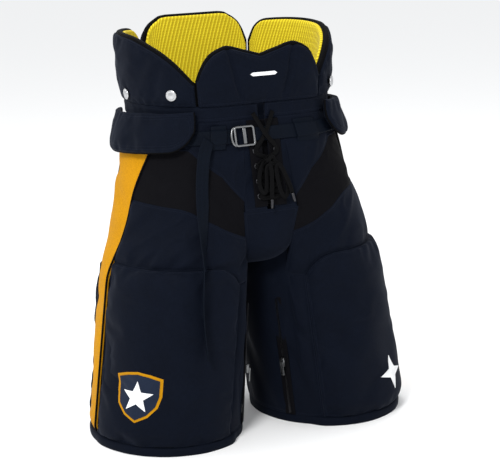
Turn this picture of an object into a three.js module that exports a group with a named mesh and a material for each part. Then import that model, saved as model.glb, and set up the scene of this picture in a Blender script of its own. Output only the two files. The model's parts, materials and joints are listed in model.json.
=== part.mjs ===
// Padded hockey pants: a laced, belted shell with pads that stand up round the waist and padded legs.
// Millimetres, +Z up, the front faces -Y, and the wearer's right is -X. The origin is on the floor,
// under the middle of the whole outline. Shapes are drawn from the hems' middle and moved at the end.

import * as THREE from "three";

// ---- Heights ---------------------------------------------------------------------------------
const legLength = 250; // hem to crotch
const rise = 236; // crotch to waist seam
const bandHeight = 22; // waistband above the waist seam
const backPadHeight = 112;
const sidePadHeight = 96;
const bellyPadHeight = 82;
const bellyDip = 15; // how far the middle of the belly pad's top edge sinks
const hemHeight = 12;

// ---- Girths ----------------------------------------------------------------------------------
const waistHalfStraight = 58; // half of the flat run across the front and the back
const waistHalfWidth = 94; // from the end of that run out to the side
const waistHalfDepth = 120;
const waistSetback = 36; // how far the waist's middle lies behind the hems' middle
const hipHalfStraight = waistHalfStraight + 20;
const hipHalfWidth = waistHalfWidth + 10;
const hipHalfDepth = waistHalfDepth + 8;
const thighHalfWidth = hipHalfWidth + 3;
const hemHalfWidth = thighHalfWidth + 7;
const hemSpread = hemHalfWidth + 22; // middle of the pants to the middle of a hem
const middleSetback = 18; // how far the whole outline's middle lies behind the hems' middle

// ---- Layers ----------------------------------------------------------------------------------
const clothThickness = 4;
const bandThickness = 6;
const padThickness = 12;
const liningThickness = 6;
const layerGap = 1;
const seamGap = 1.5;
const plateThickness = 3;
const foamThickness = 15;
const coverThickness = 4;
const thighPadRise = 10; // outer face of the thigh pad above the cloth beside it
const stripeFullness = 5; // how far the stripe swells over the padded lower leg
const rearPadLift = 9; // outer face of the rear pad above the cloth's outline
const flapClearance = 7;
const flapThickness = 13;
const flapHeight = 60;
const hemLift = 0.5;
const hemThickness = 6.5;

// ---- Belt, buckle and lace -------------------------------------------------------------------
const webWidth = 20;
const webThickness = 2;
const beltDrop = 24; // waist seam down to the middle of the belt
const buckleWidth = 34;
const buckleHeight = 31;
const buckleWire = 3.5;
const buckleBow = 6.5; // how far the pull bow stands out beside the frame
const buckleOffset = 33; // middle of the pants to the middle of the buckle
const barWidth = 5;
const barThickness = 2;
const laceWidth = 7;
const laceThickness = 1.6;
const eyeletSpacing = 22;
const eyeletHalfPitch = 17; // middle of the fly to an eyelet
const agletLength = 14;
const agletRadius = 2.4;

// ---- Buttons and zips ------------------------------------------------------------------------
const buttonRadius = 8.5;
const buttonPost = 3.5;
const buttonHeight = 5;
const zipAngle = -144; // round the leg, on the inner side towards the front
const zipLength = 190;
const sliderLength = 14;
const sliderWidth = 9;
const sliderThickness = 5;
const pullLength = 22;
const pullWidth = 6;
const pullThickness = 1.8;

// ---- Levels that follow ----------------------------------------------------------------------
const crotchZ = legLength;
const waistZ = crotchZ + rise;
const bandTopZ = waistZ + bandHeight;
const beltZ = waistZ - beltDrop;
const padBottomZ = bandTopZ + seamGap;
const yokeSideZ = waistZ - 41;
const forkZ = crotchZ + 100; // where the two legs have become one trunk
const coverTopZ = crotchZ + 24;
const innerTopZ = crotchZ - 12;
const rearTopZ = crotchZ + 5;
const panelBottomZ = hemHeight + seamGap;

// ---- Materials -------------------------------------------------------------------------------
const finish = (color, roughness, metalness = 0) =>
  new THREE.MeshStandardMaterial({ color, roughness, metalness });
const navyCloth = finish(0x171c28, 0.85);
const stretchCloth = finish(0x131317, 0.8);
const goldCloth = finish(0xd8951c, 0.75);
const yellowLining = finish(0xd3c32a, 0.9);
const webbing = finish(0x1c2a36, 0.7);
const laceCord = finish(0x101012, 0.9);
const steel = finish(0xb9bbbd, 0.3, 1);
const platePlastic = finish(0xd9dbdc, 0.45);
const padFoam = finish(0xe8e6df, 0.95);
const zipTapeCloth = finish(0x0d0d10, 0.8);

// ---- The body form ---------------------------------------------------------------------------
const { lerp, clamp, degToRad } = THREE.MathUtils;

/** Reads a line through [place, value] points, flat beyond its ends. */
function along(points, place) {
  const next = points.findIndex(([at]) => at >= place);
  if (next === 0) return points[0][1];
  if (next < 0) return points[points.length - 1][1];
  const [a, before] = points[next - 1];
  const [b, after] = points[next];
  return lerp(before, after, (place - a) / (b - a));
}

/** Reads a smooth curve through [place, value] points, flat beyond its ends. */
function smoothAlong(points, place) {
  const last = points.length - 1;
  const next = clamp(points.findIndex(([at]) => at >= place), 1, last);
  if (place <= points[0][0]) return points[0][1];
  if (place >= points[last][0]) return points[last][1];
  const slope = (i) => {
    const [a, b] = [points[Math.max(i - 1, 0)], points[Math.min(i + 1, last)]];
    return (b[1] - a[1]) / (b[0] - a[0]);
  };
  const [[from, before], [to, after]] = [points[next - 1], points[next]];
  const span = to - from;
  const t = (place - from) / span;
  const [t2, t3] = [t * t, t * t * t];
  return before * (2 * t3 - 3 * t2 + 1) + after * (3 * t2 - 2 * t3)
    + slope(next - 1) * span * (t3 - 2 * t2 + t) + slope(next) * span * (t3 - t2);
}

const levels = [
  { z: 0, straight: hemSpread, width: hemHalfWidth, depth: hipHalfDepth - 1, setback: 0 },
  { z: crotchZ, straight: thighHalfWidth, width: thighHalfWidth, depth: hipHalfDepth, setback: 8 },
  { z: crotchZ + 86, straight: hipHalfStraight + 11, width: hipHalfWidth, depth: hipHalfDepth,
    setback: 15 },
  { z: crotchZ + 130, straight: hipHalfStraight, width: hipHalfWidth, depth: hipHalfDepth,
    setback: 22 },
  { z: yokeSideZ, straight: waistHalfStraight + 8, width: waistHalfWidth + 6,
    depth: waistHalfDepth + 4, setback: waistSetback - 6 },
  { z: waistZ, straight: waistHalfStraight, width: waistHalfWidth, depth: waistHalfDepth,
    setback: waistSetback },
  { z: bandTopZ + 16, straight: waistHalfStraight + 2, width: waistHalfWidth + 3,
    depth: waistHalfDepth + 2, setback: waistSetback + 2 },
  { z: bandTopZ + backPadHeight, straight: waistHalfStraight + 4, width: waistHalfWidth + 8,
    depth: waistHalfDepth + 6, setback: waistSetback + 4 },
];

/** The section at a height: two half ellipses joined by straight runs, or one ellipse for a leg. */
function section(z) {
  const read = (key) => along(levels.map((level) => [level.z, level[key]]), z);
  return { straight: read("straight"), width: read("width"), depth: read("depth"),
    setback: read("setback") };
}

/**
 * A point on the cloth. side is 1 for the wearer's left and -1 for the right. angle runs round that
 * half from the front: -90 is its front, 0 its outer side, 90 its back, and beyond them it follows
 * the inner side of the leg, or above the fork the straight run to the middle of the pants.
 */
function cloth(side, angle, z) {
  const { straight, width, depth, setback } = section(z);
  const turn = degToRad(angle);
  const leg = new THREE.Vector2(straight + width * Math.cos(turn), depth * Math.sin(turn));
  const inner = Math.abs(angle) - 90;
  const wrapped = Math.abs(angle) > 180;
  if (inner > 0 && z > crotchZ && !wrapped) {
    const share = clamp((z - crotchZ) / (forkZ - crotchZ), 0, 1);
    leg.lerp(new THREE.Vector2(straight * (1 - inner / 90), Math.sign(angle) * depth), share);
  }
  return new THREE.Vector3(side * leg.x, setback + leg.y, z);
}

/** A place round the whole waist: 0 is the front middle, 360 the back middle, 720 the front again. */
function roundWaist(place, z) {
  const turned = place > 360 ? place - 720 : place;
  return cloth(turned < 0 ? -1 : 1, Math.abs(turned) - 180, z);
}

/** The angle on one half where the front's straight run is this far from the middle. */
function frontAngle(fromMiddle, z) {
  return -180 + (90 * fromMiddle) / section(z).straight;
}

/** The outward direction of a surface at (u, v), when u runs anticlockwise and v runs up. */
function outward(surface, u, v) {
  const step = 1e-3;
  const alongU = surface(Math.min(u + step, 1), v).sub(surface(Math.max(u - step, 0), v));
  const alongV = surface(u, Math.min(v + step, 1)).sub(surface(u, Math.max(v - step, 0)));
  return alongU.cross(alongV).normalize();
}

/** A closed plate bent onto surface(u, v), from one height above it to another. */
function plate(surface, columns, rows, inside, outside) {
  const geometry = new THREE.BoxGeometry(1, 1, 1, columns, rows, 1);
  const points = geometry.attributes.position;
  for (let i = 0; i < points.count; i++) {
    const [u, v] = [points.getX(i) + 0.5, points.getY(i) + 0.5];
    const height = points.getZ(i) > 0 ? outside : inside;
    const lift = typeof height === "function" ? height(u, v) : height;
    const at = surface(u, v).addScaledVector(outward(surface, u, v), lift);
    points.setXYZ(i, at.x, at.y, at.z);
  }
  return geometry;
}

/** A surface on one half, between two angles, with its bottom and top edges read by angle. */
function halfSurface(side, from, to, bottom, top) {
  const read = (edge, value) => (typeof edge === "function" ? edge(value) : edge);
  return (u, v) => {
    const share = side > 0 ? u : 1 - u;
    const middle = lerp(read(from, 0), read(to, 0), share);
    const z = lerp(read(bottom, middle), read(top, middle), v);
    const angle = lerp(read(from, z), read(to, z), share);
    return cloth(side, angle, lerp(read(bottom, angle), read(top, angle), v));
  };
}

/** A surface round the waist, between two places, with its edges read by place. */
function waistSurface(from, to, bottom, top) {
  return (u, v) => {
    const place = lerp(from, to, u);
    const read = (edge) => (typeof edge === "function" ? edge(place) : edge);
    return roundWaist(place, lerp(read(bottom), read(top), v));
  };
}

/** A flat strap or lace: an eight-sided section swept along a line, with its face turned to face(t). */
function strap(points, width, thickness, steps, face) {
  const line = new THREE.CatmullRomCurve3(points.map((point) => new THREE.Vector3(...point)));
  const geometry = new THREE.CylinderGeometry(1, 1, 1, 8, steps);
  const at = geometry.attributes.position;
  const squareness = 0.85; // how far the section's corners are from a plain oval
  for (let i = 0; i < at.count; i++) {
    const t = clamp(0.5 - at.getY(i), 0, 1);
    const middle = line.getPointAt(t);
    const tangent = line.getTangentAt(t);
    const across = tangent.clone().cross(face(t)).normalize();
    const out = tangent.clone().cross(across).normalize();
    const turn = Math.atan2(at.getZ(i), at.getX(i)) + Math.PI / 8;
    const reach = Math.hypot(at.getX(i), at.getZ(i));
    const shape = (value) => Math.sign(value) * Math.abs(value) ** squareness;
    middle.addScaledVector(across, (reach * shape(Math.cos(turn)) * width) / 2);
    middle.addScaledVector(out, (reach * shape(Math.sin(turn)) * thickness) / 2);
    at.setXYZ(i, middle.x, middle.y, middle.z);
  }
  return geometry;
}

/** Puts a small part on the cloth, its own +Z pointing out and its own +Y pointing up. */
function seatOn(mesh, side, angle, z, lift) {
  const step = 1;
  const here = cloth(side, angle, z);
  const aroundHere = cloth(side, angle + step, z).sub(cloth(side, angle - step, z));
  const up = cloth(side, angle, z + step).sub(cloth(side, angle, z - step)).normalize();
  const out = aroundHere.multiplyScalar(side).cross(up).normalize();
  const across = up.clone().cross(out).normalize();
  mesh.quaternion.setFromRotationMatrix(new THREE.Matrix4().makeBasis(across, up, out));
  mesh.position.copy(here.addScaledVector(out, lift));
  return mesh;
}

// ---- Edges that neighbours share -------------------------------------------------------------
const gussetAngle = -133; // where the crotch panel's edge runs
const stripeRearAngle = 36;
const coverInnerAngle = -118;

/** Front edge of the gold side stripe, by height. */
const stripeFront = (z) => smoothAlong([
  [0, 1], [crotchZ - 14, 0], [crotchZ + 12, -1], [crotchZ + 26, -3], [crotchZ + 50, -7],
  [crotchZ + 85, -12], [crotchZ + 134, -16], [yokeSideZ, -28],
], z);

/** Lower edge of the yoke, which is the upper edge of the stretch panel, by angle. */
const yokeEdge = (angle) => smoothAlong([
  [gussetAngle, forkZ + 16], [-126, forkZ + 22], [-94, waistZ - 86], [-77, waistZ - 66],
  [-60, yokeSideZ],
], angle);

/** Lower edge of the stretch panel, which is the upper edge of the upper thigh, by angle. */
const stretchEdge = (angle) => smoothAlong([
  [gussetAngle, crotchZ + 62], [-124, crotchZ + 66], [-88, crotchZ + 88], [-64, crotchZ + 110],
  [-42, crotchZ + 116], [-14, crotchZ + 120],
], angle);

/** Upper edge of the thigh pad, by angle. */
const coverEdge = (angle) => smoothAlong([
  [coverInnerAngle, coverTopZ - 34], [-113, coverTopZ - 20], [-104, coverTopZ - 6],
  [-92, coverTopZ],
], angle);

const parts = new THREE.Group();

function add(name, geometry, material) {
  const mesh = new THREE.Mesh(geometry, material);
  mesh.name = name;
  parts.add(mesh);
  return mesh;
}

// ---- Trunk -----------------------------------------------------------------------------------
const flyHalfGap = 10;
const yokeTopZ = waistZ - seamGap;

function addYoke(side, word) {
  const inner = (z) => frontAngle(flyHalfGap, z);
  const bottom = (angle) => (angle < gussetAngle - 1 ? forkZ + seamGap : yokeEdge(angle) + seamGap);
  const columns = [[3, gussetAngle - 1.5], [4, gussetAngle + 1], [10, -60],
    [17, stripeRearAngle]];
  const surface = (u, v) => {
    const column = (side > 0 ? u : 1 - u) * 17;
    const angleAt = (z) => along([[0, inner(z)], ...columns], column);
    const z = lerp(bottom(angleAt(forkZ)), yokeTopZ, v);
    const angle = angleAt(z);
    return cloth(side, angle, lerp(bottom(angle), yokeTopZ, v));
  };
  add(`${word}_front_yoke`, plate(surface, 17, 3, -clothThickness, 0), navyCloth);
}

/** The seat's columns stand closer where its lower edge steps up over the crotch panel. */
function addSeat() {
  const [start, low, high] = [stripeRearAngle + 1.5, -gussetAngle - 2, -gussetAngle];
  const columns = [[0, start], [9, low], [10, high], [18, 360 - high], [19, 360 - low],
    [28, 360 - start]];
  const place = (u) => 180 + along(columns, u * 28);
  const surface = (u, v) => {
    const angle = 180 - Math.abs(360 - place(u));
    const bottom = along([[low, rearTopZ + 7], [high, forkZ + seamGap]], angle);
    return roundWaist(place(u), lerp(bottom, yokeTopZ, v));
  };
  add("seat_panel", plate(surface, 28, 6, -clothThickness, 0), navyCloth);
}

/** The gusset runs from the fly seam down between the legs and up to the seat seam. */
function addCrotchPanel() {
  const bottomZ = crotchZ + 2;
  const turnZ = crotchZ + 50; // where the panel starts to curve under
  const turnShare = 0.7; // of the way from the middle to a seam, spent curving
  const underHalfWidth = 24;
  const underDroop = 4;
  const lean = 0.08;
  const front = cloth(1, -180, forkZ).y;
  const back = cloth(1, 180, forkZ).y;
  const surface = (u, v) => {
    const across = (u - 0.5) * 2;
    const end = v > 0.5 ? -1 : 1;
    const run = Math.abs(v - 0.5) * 2; // 0 under the crotch, 1 at the seams
    const swing = Math.min(run / turnShare, 1) * (Math.PI / 2);
    const z = run < turnShare
      ? lerp(turnZ, bottomZ, Math.cos(swing))
      : lerp(turnZ, forkZ - seamGap, (run - turnShare) / (1 - turnShare));
    const seam = cloth(1, end * (-gussetAngle + 4), Math.max(z, crotchZ));
    const centre = (end > 0 ? back : front) + (forkZ - z) * lean * end;
    const spread = Math.sin(swing);
    const halfWidth = lerp(underHalfWidth, seam.x, spread);
    const y = lerp((front + back) / 2, lerp(centre, seam.y, across * across), spread);
    const droop = (1 - spread) * underDroop * across * across;
    return new THREE.Vector3(across * halfWidth, y, z - droop);
  };
  add("crotch_panel", plate(surface, 4, 20, -clothThickness, 0), navyCloth);
}

function addFlyTongue() {
  const halfWidth = 30;
  const thickness = 3;
  const surface = (u, v) => {
    const z = lerp(forkZ + 8, yokeTopZ - 2, v);
    return roundWaist(((u - 0.5) * 180 * halfWidth) / section(z).straight, z);
  };
  const outer = -clothThickness - layerGap;
  add("fly_tongue", plate(surface, 4, 4, outer - thickness, outer), stretchCloth);
}

function addWaistband() {
  const opening = 12; // where the two ends stop beside the fly
  const surface = waistSurface(opening, 720 - opening, waistZ, bandTopZ);
  add("waistband", plate(surface, 60, 1, -clothThickness, bandThickness - clothThickness), navyCloth);
}

function addTailbonePad() {
  const outer = -clothThickness - 5 * layerGap;
  const reach = 92; // either side of the back's middle
  const surface = waistSurface(360 - reach, 360 + reach, forkZ + 20, waistZ - 12);
  add("tailbone_pad", plate(surface, 16, 3, outer - foamThickness, outer), padFoam);
}

// ---- Belt ------------------------------------------------------------------------------------
const beltLift = 1;
const beltTop = beltLift + webThickness;
const buckleLeftX = buckleOffset + buckleWidth / 2 + 2;
const buckleRightX = buckleOffset - buckleWidth / 2 - 2;
const loopMargin = 7; // of a loop above and below the belt
const loopHeight = webWidth + 2 * loopMargin;
const loopThickness = 1.5;

/** The place round the waist, on the wearer's right, this far from the middle of the front. */
const rightPlace = (fromMiddle) => 720 - (90 * fromMiddle) / section(beltZ).straight;

function addBelt() {
  const bottom = beltZ - webWidth / 2;
  const top = beltZ + webWidth / 2;
  const start = (-90 * buckleRightX) / section(beltZ).straight;
  const surface = (u, v) => {
    const place = lerp(start, rightPlace(buckleLeftX), u);
    return roundWaist(place < 0 ? place + 720 : place, lerp(bottom, top, v));
  };
  add("belt", plate(surface, 60, 1, beltLift, beltTop), webbing);
}

/** A loop sewn above and below the belt; its rows of corners fall where it steps over the edges. */
function addLoop(name, from, to, columns) {
  const roof = beltTop + 0.6;
  const rows = 14;
  const foot = (loopMargin - 1.8) / loopHeight;
  const shoulder = (loopMargin - 0.2) / loopHeight;
  const flat = waistSurface(from, to, beltZ - loopHeight / 2, beltZ + loopHeight / 2);
  const [low, high] = [2 / rows, 3 / rows];
  const surface = (u, v) => flat(u, along([[0, 0], [low, foot], [high, shoulder],
    [1 - high, 1 - shoulder], [1 - low, 1 - foot], [1, 1]], v));
  const raised = (v) => along([[low, 0], [high, roof], [1 - high, roof], [1 - low, 0]], v);
  const sewnLift = 0.4;
  const inside = (u, v) => sewnLift + raised(v);
  const outside = (u, v) => sewnLift + loopThickness + raised(v);
  add(name, plate(surface, columns, rows, inside, outside), webbing);
}

function addLoops() {
  addLoop("right_belt_loop", 617, 632, 2);
  addLoop("left_belt_loop", 75, 106, 3);
  addLoop("rear_belt_loop", 340, 380, 2);
}

/** The free end of the belt, by how far it has dropped from the loop: where it hangs round the leg. */
const tailDrops = [0, 3, 10, 22, 37, 53, 71, 91, 111, 131, 153, 175, 199, 223, 247, 271, 293, 313];
const tailAngles = [[0, -75.4], [6, -74], [22, -72.5], [70, -73], [111, -76], [175, -80], [247, -82],
  [313, -86]];

/** How far the tail stands off the cloth at a height: it clears the thigh pad while on edge. */
function tailLift(z) {
  const onEdge = thighPadRise + webWidth / 2;
  return smoothAlong([
    [beltZ - 314, onEdge + 7.5], [coverTopZ - 12, onEdge + 2], [coverTopZ + 34, onEdge - 5.5],
    [coverTopZ + 76, onEdge - 12.5], [beltZ - 54, webWidth / 2],
    [beltZ - 11, webWidth / 2 + 3.5], [beltZ - 1, webWidth / 2 - 0.5],
  ], z);
}

function tailPoint(drop) {
  const z = beltZ - 1 - drop;
  const angle = smoothAlong(tailAngles, drop);
  const ahead = cloth(-1, angle - 1, z).sub(cloth(-1, angle + 1, z)).normalize();
  const out = new THREE.Vector3(ahead.y, -ahead.x, 0);
  return cloth(-1, angle, z).addScaledVector(out, tailLift(z)).toArray();
}

function addTail() {
  const edgeOn = degToRad(70);
  const face = (t) => {
    const turn = clamp((t - 0.3) / 0.3, 0, 1) * edgeOn;
    return new THREE.Vector3(Math.sin(turn), -Math.cos(turn), 0);
  };
  add("belt_tail", strap(tailDrops.map(tailPoint), webWidth, webThickness, 24, face), webbing);
}

const frontY = (z) => cloth(1, -180, z).y;

/** Everything flat on the front is drawn in X and Z, stood up and leaned to the cloth. */
function standUp(mesh, x, z, lift) {
  mesh.rotation.x = Math.PI / 2 - Math.atan2(frontY(z + 1) - frontY(z - 1), 2);
  mesh.position.set(x, cloth(1, -180, beltZ).y - lift, z);
  return mesh;
}

function rectangle(shape, left, bottom, right, top, radius) {
  shape.moveTo(left + radius, bottom);
  shape.lineTo(right - radius, bottom);
  shape.absarc(right - radius, bottom + radius, radius, -Math.PI / 2, 0, false);
  shape.lineTo(right, top - radius);
  shape.absarc(right - radius, top - radius, radius, 0, Math.PI / 2, false);
  shape.lineTo(left + radius, top);
  shape.absarc(left + radius, top - radius, radius, Math.PI / 2, Math.PI, false);
  shape.lineTo(left, bottom + radius);
  shape.absarc(left + radius, bottom + radius, radius, Math.PI, 1.5 * Math.PI, false);
  return shape;
}

const buckleDepth = 3;
const buckleLift = beltTop + 1;

/** The frame's outline: straight on three sides, with the pull bow curving out on the fourth. */
function buckleOutline(halfWidth, halfHeight) {
  const corner = 2;
  const outline = new THREE.Shape();
  outline.moveTo(-halfWidth, -halfHeight);
  outline.lineTo(halfWidth - corner, -halfHeight);
  outline.absarc(halfWidth - corner, -halfHeight + corner, corner, -Math.PI / 2, 0, false);
  outline.lineTo(halfWidth, halfHeight - corner);
  outline.absarc(halfWidth - corner, halfHeight - corner, corner, 0, Math.PI / 2, false);
  outline.lineTo(-halfWidth, halfHeight);
  outline.quadraticCurveTo(-halfWidth - 2 * buckleBow, 0, -halfWidth, -halfHeight);
  return outline;
}

function addBuckle() {
  const [halfWidth, halfHeight] = [buckleWidth / 2, buckleHeight / 2];
  const outline = buckleOutline(halfWidth, halfHeight);
  outline.holes.push(rectangle(new THREE.Path(), -halfWidth + buckleWire,
    -halfHeight + buckleWire, halfWidth - buckleWire, halfHeight - buckleWire, 1));
  const slot = new THREE.Path();
  const slotTop = halfHeight - 5.5;
  slot.moveTo(-halfWidth, -slotTop);
  slot.lineTo(-halfWidth, slotTop);
  slot.quadraticCurveTo(-halfWidth - 2 * buckleBow + 6, 0, -halfWidth, -slotTop);
  outline.holes.push(slot);
  const frame = new THREE.ExtrudeGeometry(outline,
    { depth: buckleDepth, bevelEnabled: false, curveSegments: 5 });
  standUp(add("buckle_frame", frame, steel), -buckleOffset, beltZ, buckleLift);

  const barHeight = buckleHeight - 2 * buckleWire - 1;
  const bar = rectangle(new THREE.Shape(), -barWidth / 2, -barHeight / 2, barWidth / 2,
    barHeight / 2, 1);
  const barBody = new THREE.ExtrudeGeometry(bar,
    { depth: barThickness, bevelEnabled: false, curveSegments: 3 });
  standUp(add("buckle_bar", barBody, steel), -buckleOffset, beltZ, buckleLift + 0.5);
}

// ---- Lace ------------------------------------------------------------------------------------
const firstEyeletZ = forkZ + 22;

function addLace() {
  const row = (index) => firstEyeletZ + index * eyeletSpacing;
  const topRow = waistZ + 8;
  const under = 2.2;
  const over = 4.8;
  const overBelt = 4;
  const point = (x, z, lift) => [x * eyeletHalfPitch, frontY(z) - lift, z];
  const route = [
    point(1, topRow, under + 2), point(0, beltZ, under + overBelt), point(-1, row(3), under),
    point(0, row(2.5), under), point(1, row(2), under), point(0, row(1.5), under),
    point(-1, row(1), under), point(0, row(0.5), under), point(1, row(0), under),
    point(0, row(-0.15), under + 1), point(-1, row(0), over), point(0, row(0.5), over),
    point(1, row(1), over), point(0, row(1.5), over), point(-1, row(2), over),
    point(0, row(2.5), over), point(1, row(3), over), point(0, beltZ, over + overBelt),
    point(-1, topRow, over + 2),
  ];
  const face = () => new THREE.Vector3(0, -1, 0);
  add("fly_lace", strap(route, laceWidth, laceThickness, 40, face), laceCord);
}

/** Each half of the bow, its heights from the belt: a loop back to the knot, then the end. */
const bowPoints = {
  right: [
    [-4, -9, -38], [-11, -9.5, -43], [-17, -10, -54], [-20, -10, -68], [-18, -10.5, -80],
    [-12.5, -11, -84], [-9, -11.5, -74], [-7.5, -12, -60], [-6.5, -13, -48], [-3, -15.5, -44],
    [-0.5, -15, -52], [-1, -14, -66], [-2, -13, -80], [-3, -12, -94],
  ],
  left: [
    [5, -9, -38], [13, -9.5, -43], [21, -10, -55], [25.5, -10, -71], [25, -10.5, -86],
    [19, -11, -93], [13, -11.5, -84], [10, -12, -68], [8.5, -13, -52], [11, -15.5, -44],
    [17, -15.5, -50], [22, -15, -62], [27, -14.5, -75], [30.5, -13.5, -88],
  ],
};

function addBow(word) {
  const points = bowPoints[word].map(([x, lift, rise]) => {
    const z = beltZ + rise;
    return [x, frontY(z) + lift, z];
  });
  const face = () => new THREE.Vector3(0, -1, 0);
  add(`${word}_lace_end`, strap(points, laceWidth, laceThickness, 26, face), laceCord);
  const [end, before] = [points[points.length - 1], points[points.length - 2]]
    .map((point) => new THREE.Vector3(...point));
  const direction = end.clone().sub(before).normalize();
  const tip = add(`${word}_aglet`,
    new THREE.CylinderGeometry(agletRadius, agletRadius * 0.75, agletLength, 8), steel);
  tip.quaternion.setFromUnitVectors(new THREE.Vector3(0, -1, 0), direction);
  tip.position.copy(end.addScaledVector(direction, agletLength / 2 + 0.3));
}

// ---- Waist pads ------------------------------------------------------------------------------
const bellyPlace = 111; // half of the belly pad's reach round the front
const backPlace = 252; // where the back pad starts
const sideFrontAngle = -64;
const sideRearAngle = 68;

const bellyTop = (place) => padBottomZ + along([
  [0, bellyPadHeight - bellyDip], [40, bellyPadHeight - 7], [82, bellyPadHeight],
  [98, bellyPadHeight - 8], [106, bellyPadHeight - 24], [bellyPlace, bellyPadHeight - 46],
], Math.min(place, 720 - place));

const sideTop = (angle) => padBottomZ + along([
  [sideFrontAngle, sidePadHeight - 66], [-47, sidePadHeight - 34], [-30, sidePadHeight - 14],
  [-6, sidePadHeight], [52, sidePadHeight], [62, sidePadHeight - 10],
  [sideRearAngle, sidePadHeight - 34],
], angle);

const backTop = (place) => padBottomZ - seamGap + along([
  [backPlace, backPadHeight - 50], [backPlace + 7, backPadHeight - 20],
  [backPlace + 20, backPadHeight - 4], [backPlace + 40, backPadHeight],
], Math.min(place, 720 - place));

const standingLift = 8; // outer face of the belly and back pads above the waist's outline

function addBelly() {
  const surface = (u, v) => {
    const place = lerp(720 - bellyPlace, 720 + bellyPlace, u);
    const wrapped = place >= 720 ? place - 720 : place;
    return roundWaist(wrapped, lerp(padBottomZ, bellyTop(wrapped), v));
  };
  const inner = standingLift - padThickness;
  add("belly_pad", plate(surface, 18, 3, inner, standingLift), navyCloth);
  const liner = inner - layerGap;
  add("belly_lining", plate(surface, 18, 3, liner - liningThickness, liner), yellowLining);
}

function addBack() {
  const surface = waistSurface(backPlace, 720 - backPlace, padBottomZ, backTop);
  const inner = standingLift - padThickness;
  add("back_pad", plate(surface, 18, 4, inner, standingLift), navyCloth);
  const shell = inner - layerGap;
  const reach = 40; // of the spine plate, either side of the back's middle
  const spine = waistSurface(360 - reach, 360 + reach, padBottomZ + 6,
    padBottomZ + backPadHeight - 14);
  add("spine_plate", plate(spine, 6, 3, shell - plateThickness, shell), platePlastic);
  const liner = shell - plateThickness - layerGap;
  add("back_lining", plate(surface, 18, 4, liner - liningThickness, liner), yellowLining);
}

function addSide(side, word) {
  const surface = halfSurface(side, sideFrontAngle, sideRearAngle, padBottomZ, sideTop);
  const outer = padThickness / 2;
  add(`${word}_side_pad`, plate(surface, 13, 4, outer - padThickness, outer), navyCloth);
  const liner = outer - padThickness - layerGap;
  add(`${word}_side_lining`, plate(surface, 13, 4, liner - liningThickness, liner), yellowLining);
}

const buttonProfile = [
  [0, 0], [buttonPost, 0], [buttonPost, buttonHeight - 3], [buttonRadius, buttonHeight - 3],
  [buttonRadius, buttonHeight - 1], [buttonRadius - 2, buttonHeight], [0, buttonHeight],
].map(([radius, height]) => new THREE.Vector2(radius, height));

/** A brace button: a post crimped through the pad and a flat cap. */
function addButton(name, side, angle, z, lift) {
  const geometry = new THREE.LatheGeometry(buttonProfile, 12);
  geometry.rotateX(Math.PI / 2);
  seatOn(add(name, geometry, steel), side, angle, z, lift + 0.4);
}

function addButtons(side, word) {
  const sideLift = padThickness / 2 + 0.8;
  addButton(`${word}_front_button`, side, -48, padBottomZ + 17, sideLift);
  addButton(`${word}_side_button`, side, -2, padBottomZ + 13, sideLift);
  addButton(`${word}_rear_button`, side, 128, padBottomZ + 15, standingLift);
}

// ---- Hip flaps -------------------------------------------------------------------------------
const flapFrontAngle = -64;
const flapRearAngle = 40;

function addFlap(side, word) {
  const top = (angle) => waistZ + along([[flapFrontAngle, 17], [10, 6], [flapRearAngle, 4]], angle);
  const bottom = (angle) => top(angle) - flapHeight + along([
    [flapFrontAngle, 26], [flapFrontAngle + 4, 12], [flapFrontAngle + 12, 2],
    [flapFrontAngle + 20, 0], [flapRearAngle - 16, 0], [flapRearAngle - 8, 3], [flapRearAngle, 14],
  ], angle);
  const surface = halfSurface(side, flapFrontAngle, flapRearAngle, bottom, top);
  add(`${word}_hip_flap`,
    plate(surface, 13, 3, flapClearance, flapClearance + flapThickness), navyCloth);
}

// ---- Legs ------------------------------------------------------------------------------------
function addUpperLeg(side, word) {
  const outer = (z) => stripeFront(z) - 1;
  const gap = seamGap / 2;
  const stretch = halfSurface(side, gussetAngle + 1, outer,
    (angle) => stretchEdge(angle) + gap, (angle) => yokeEdge(angle) - gap);
  add(`${word}_stretch_panel`, plate(stretch, 12, 2, -clothThickness, 0), stretchCloth);
  const bottom = (angle) => coverEdge(angle) + seamGap;
  const thigh = halfSurface(side, gussetAngle + 1, outer, bottom,
    (angle) => stretchEdge(angle) - gap);
  add(`${word}_upper_thigh`, plate(thigh, 12, 3, -clothThickness, 0), navyCloth);
}

function addStripe(side, word) {
  const surface = halfSurface(side, (z) => stripeFront(z), stripeRearAngle, panelBottomZ,
    yokeSideZ - seamGap / 2);
  const outside = (u, v) => along([[0.55, stripeFullness], [0.68, 0]], v);
  const inside = (u, v) => outside(u, v) - clothThickness;
  add(`${word}_side_stripe`, plate(surface, 4, 12, inside, outside), goldCloth);
}

function addThighPad(side, word) {
  const outerAngle = -4;
  const rows = Math.ceil((coverTopZ - panelBottomZ) / 26);
  const cover = halfSurface(side, coverInnerAngle, outerAngle, panelBottomZ, coverEdge);
  const coverInner = thighPadRise - coverThickness;
  add(`${word}_thigh_cover`, plate(cover, 12, rows, coverInner, thighPadRise), navyCloth);
  const shell = halfSurface(side, -104, outerAngle - 10, panelBottomZ + 26, coverTopZ - 24);
  const shellOuter = coverInner - layerGap;
  add(`${word}_thigh_plate`, plate(shell, 9, rows - 3, shellOuter - plateThickness, shellOuter),
    platePlastic);
  const foam = halfSurface(side, coverInnerAngle + 4, outerAngle - 2, panelBottomZ + 4,
    (angle) => coverEdge(angle) - 5);
  const foamOuter = shellOuter - plateThickness - layerGap;
  add(`${word}_thigh_foam`, plate(foam, 11, rows - 1, foamOuter - foamThickness, foamOuter), padFoam);
}

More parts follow.
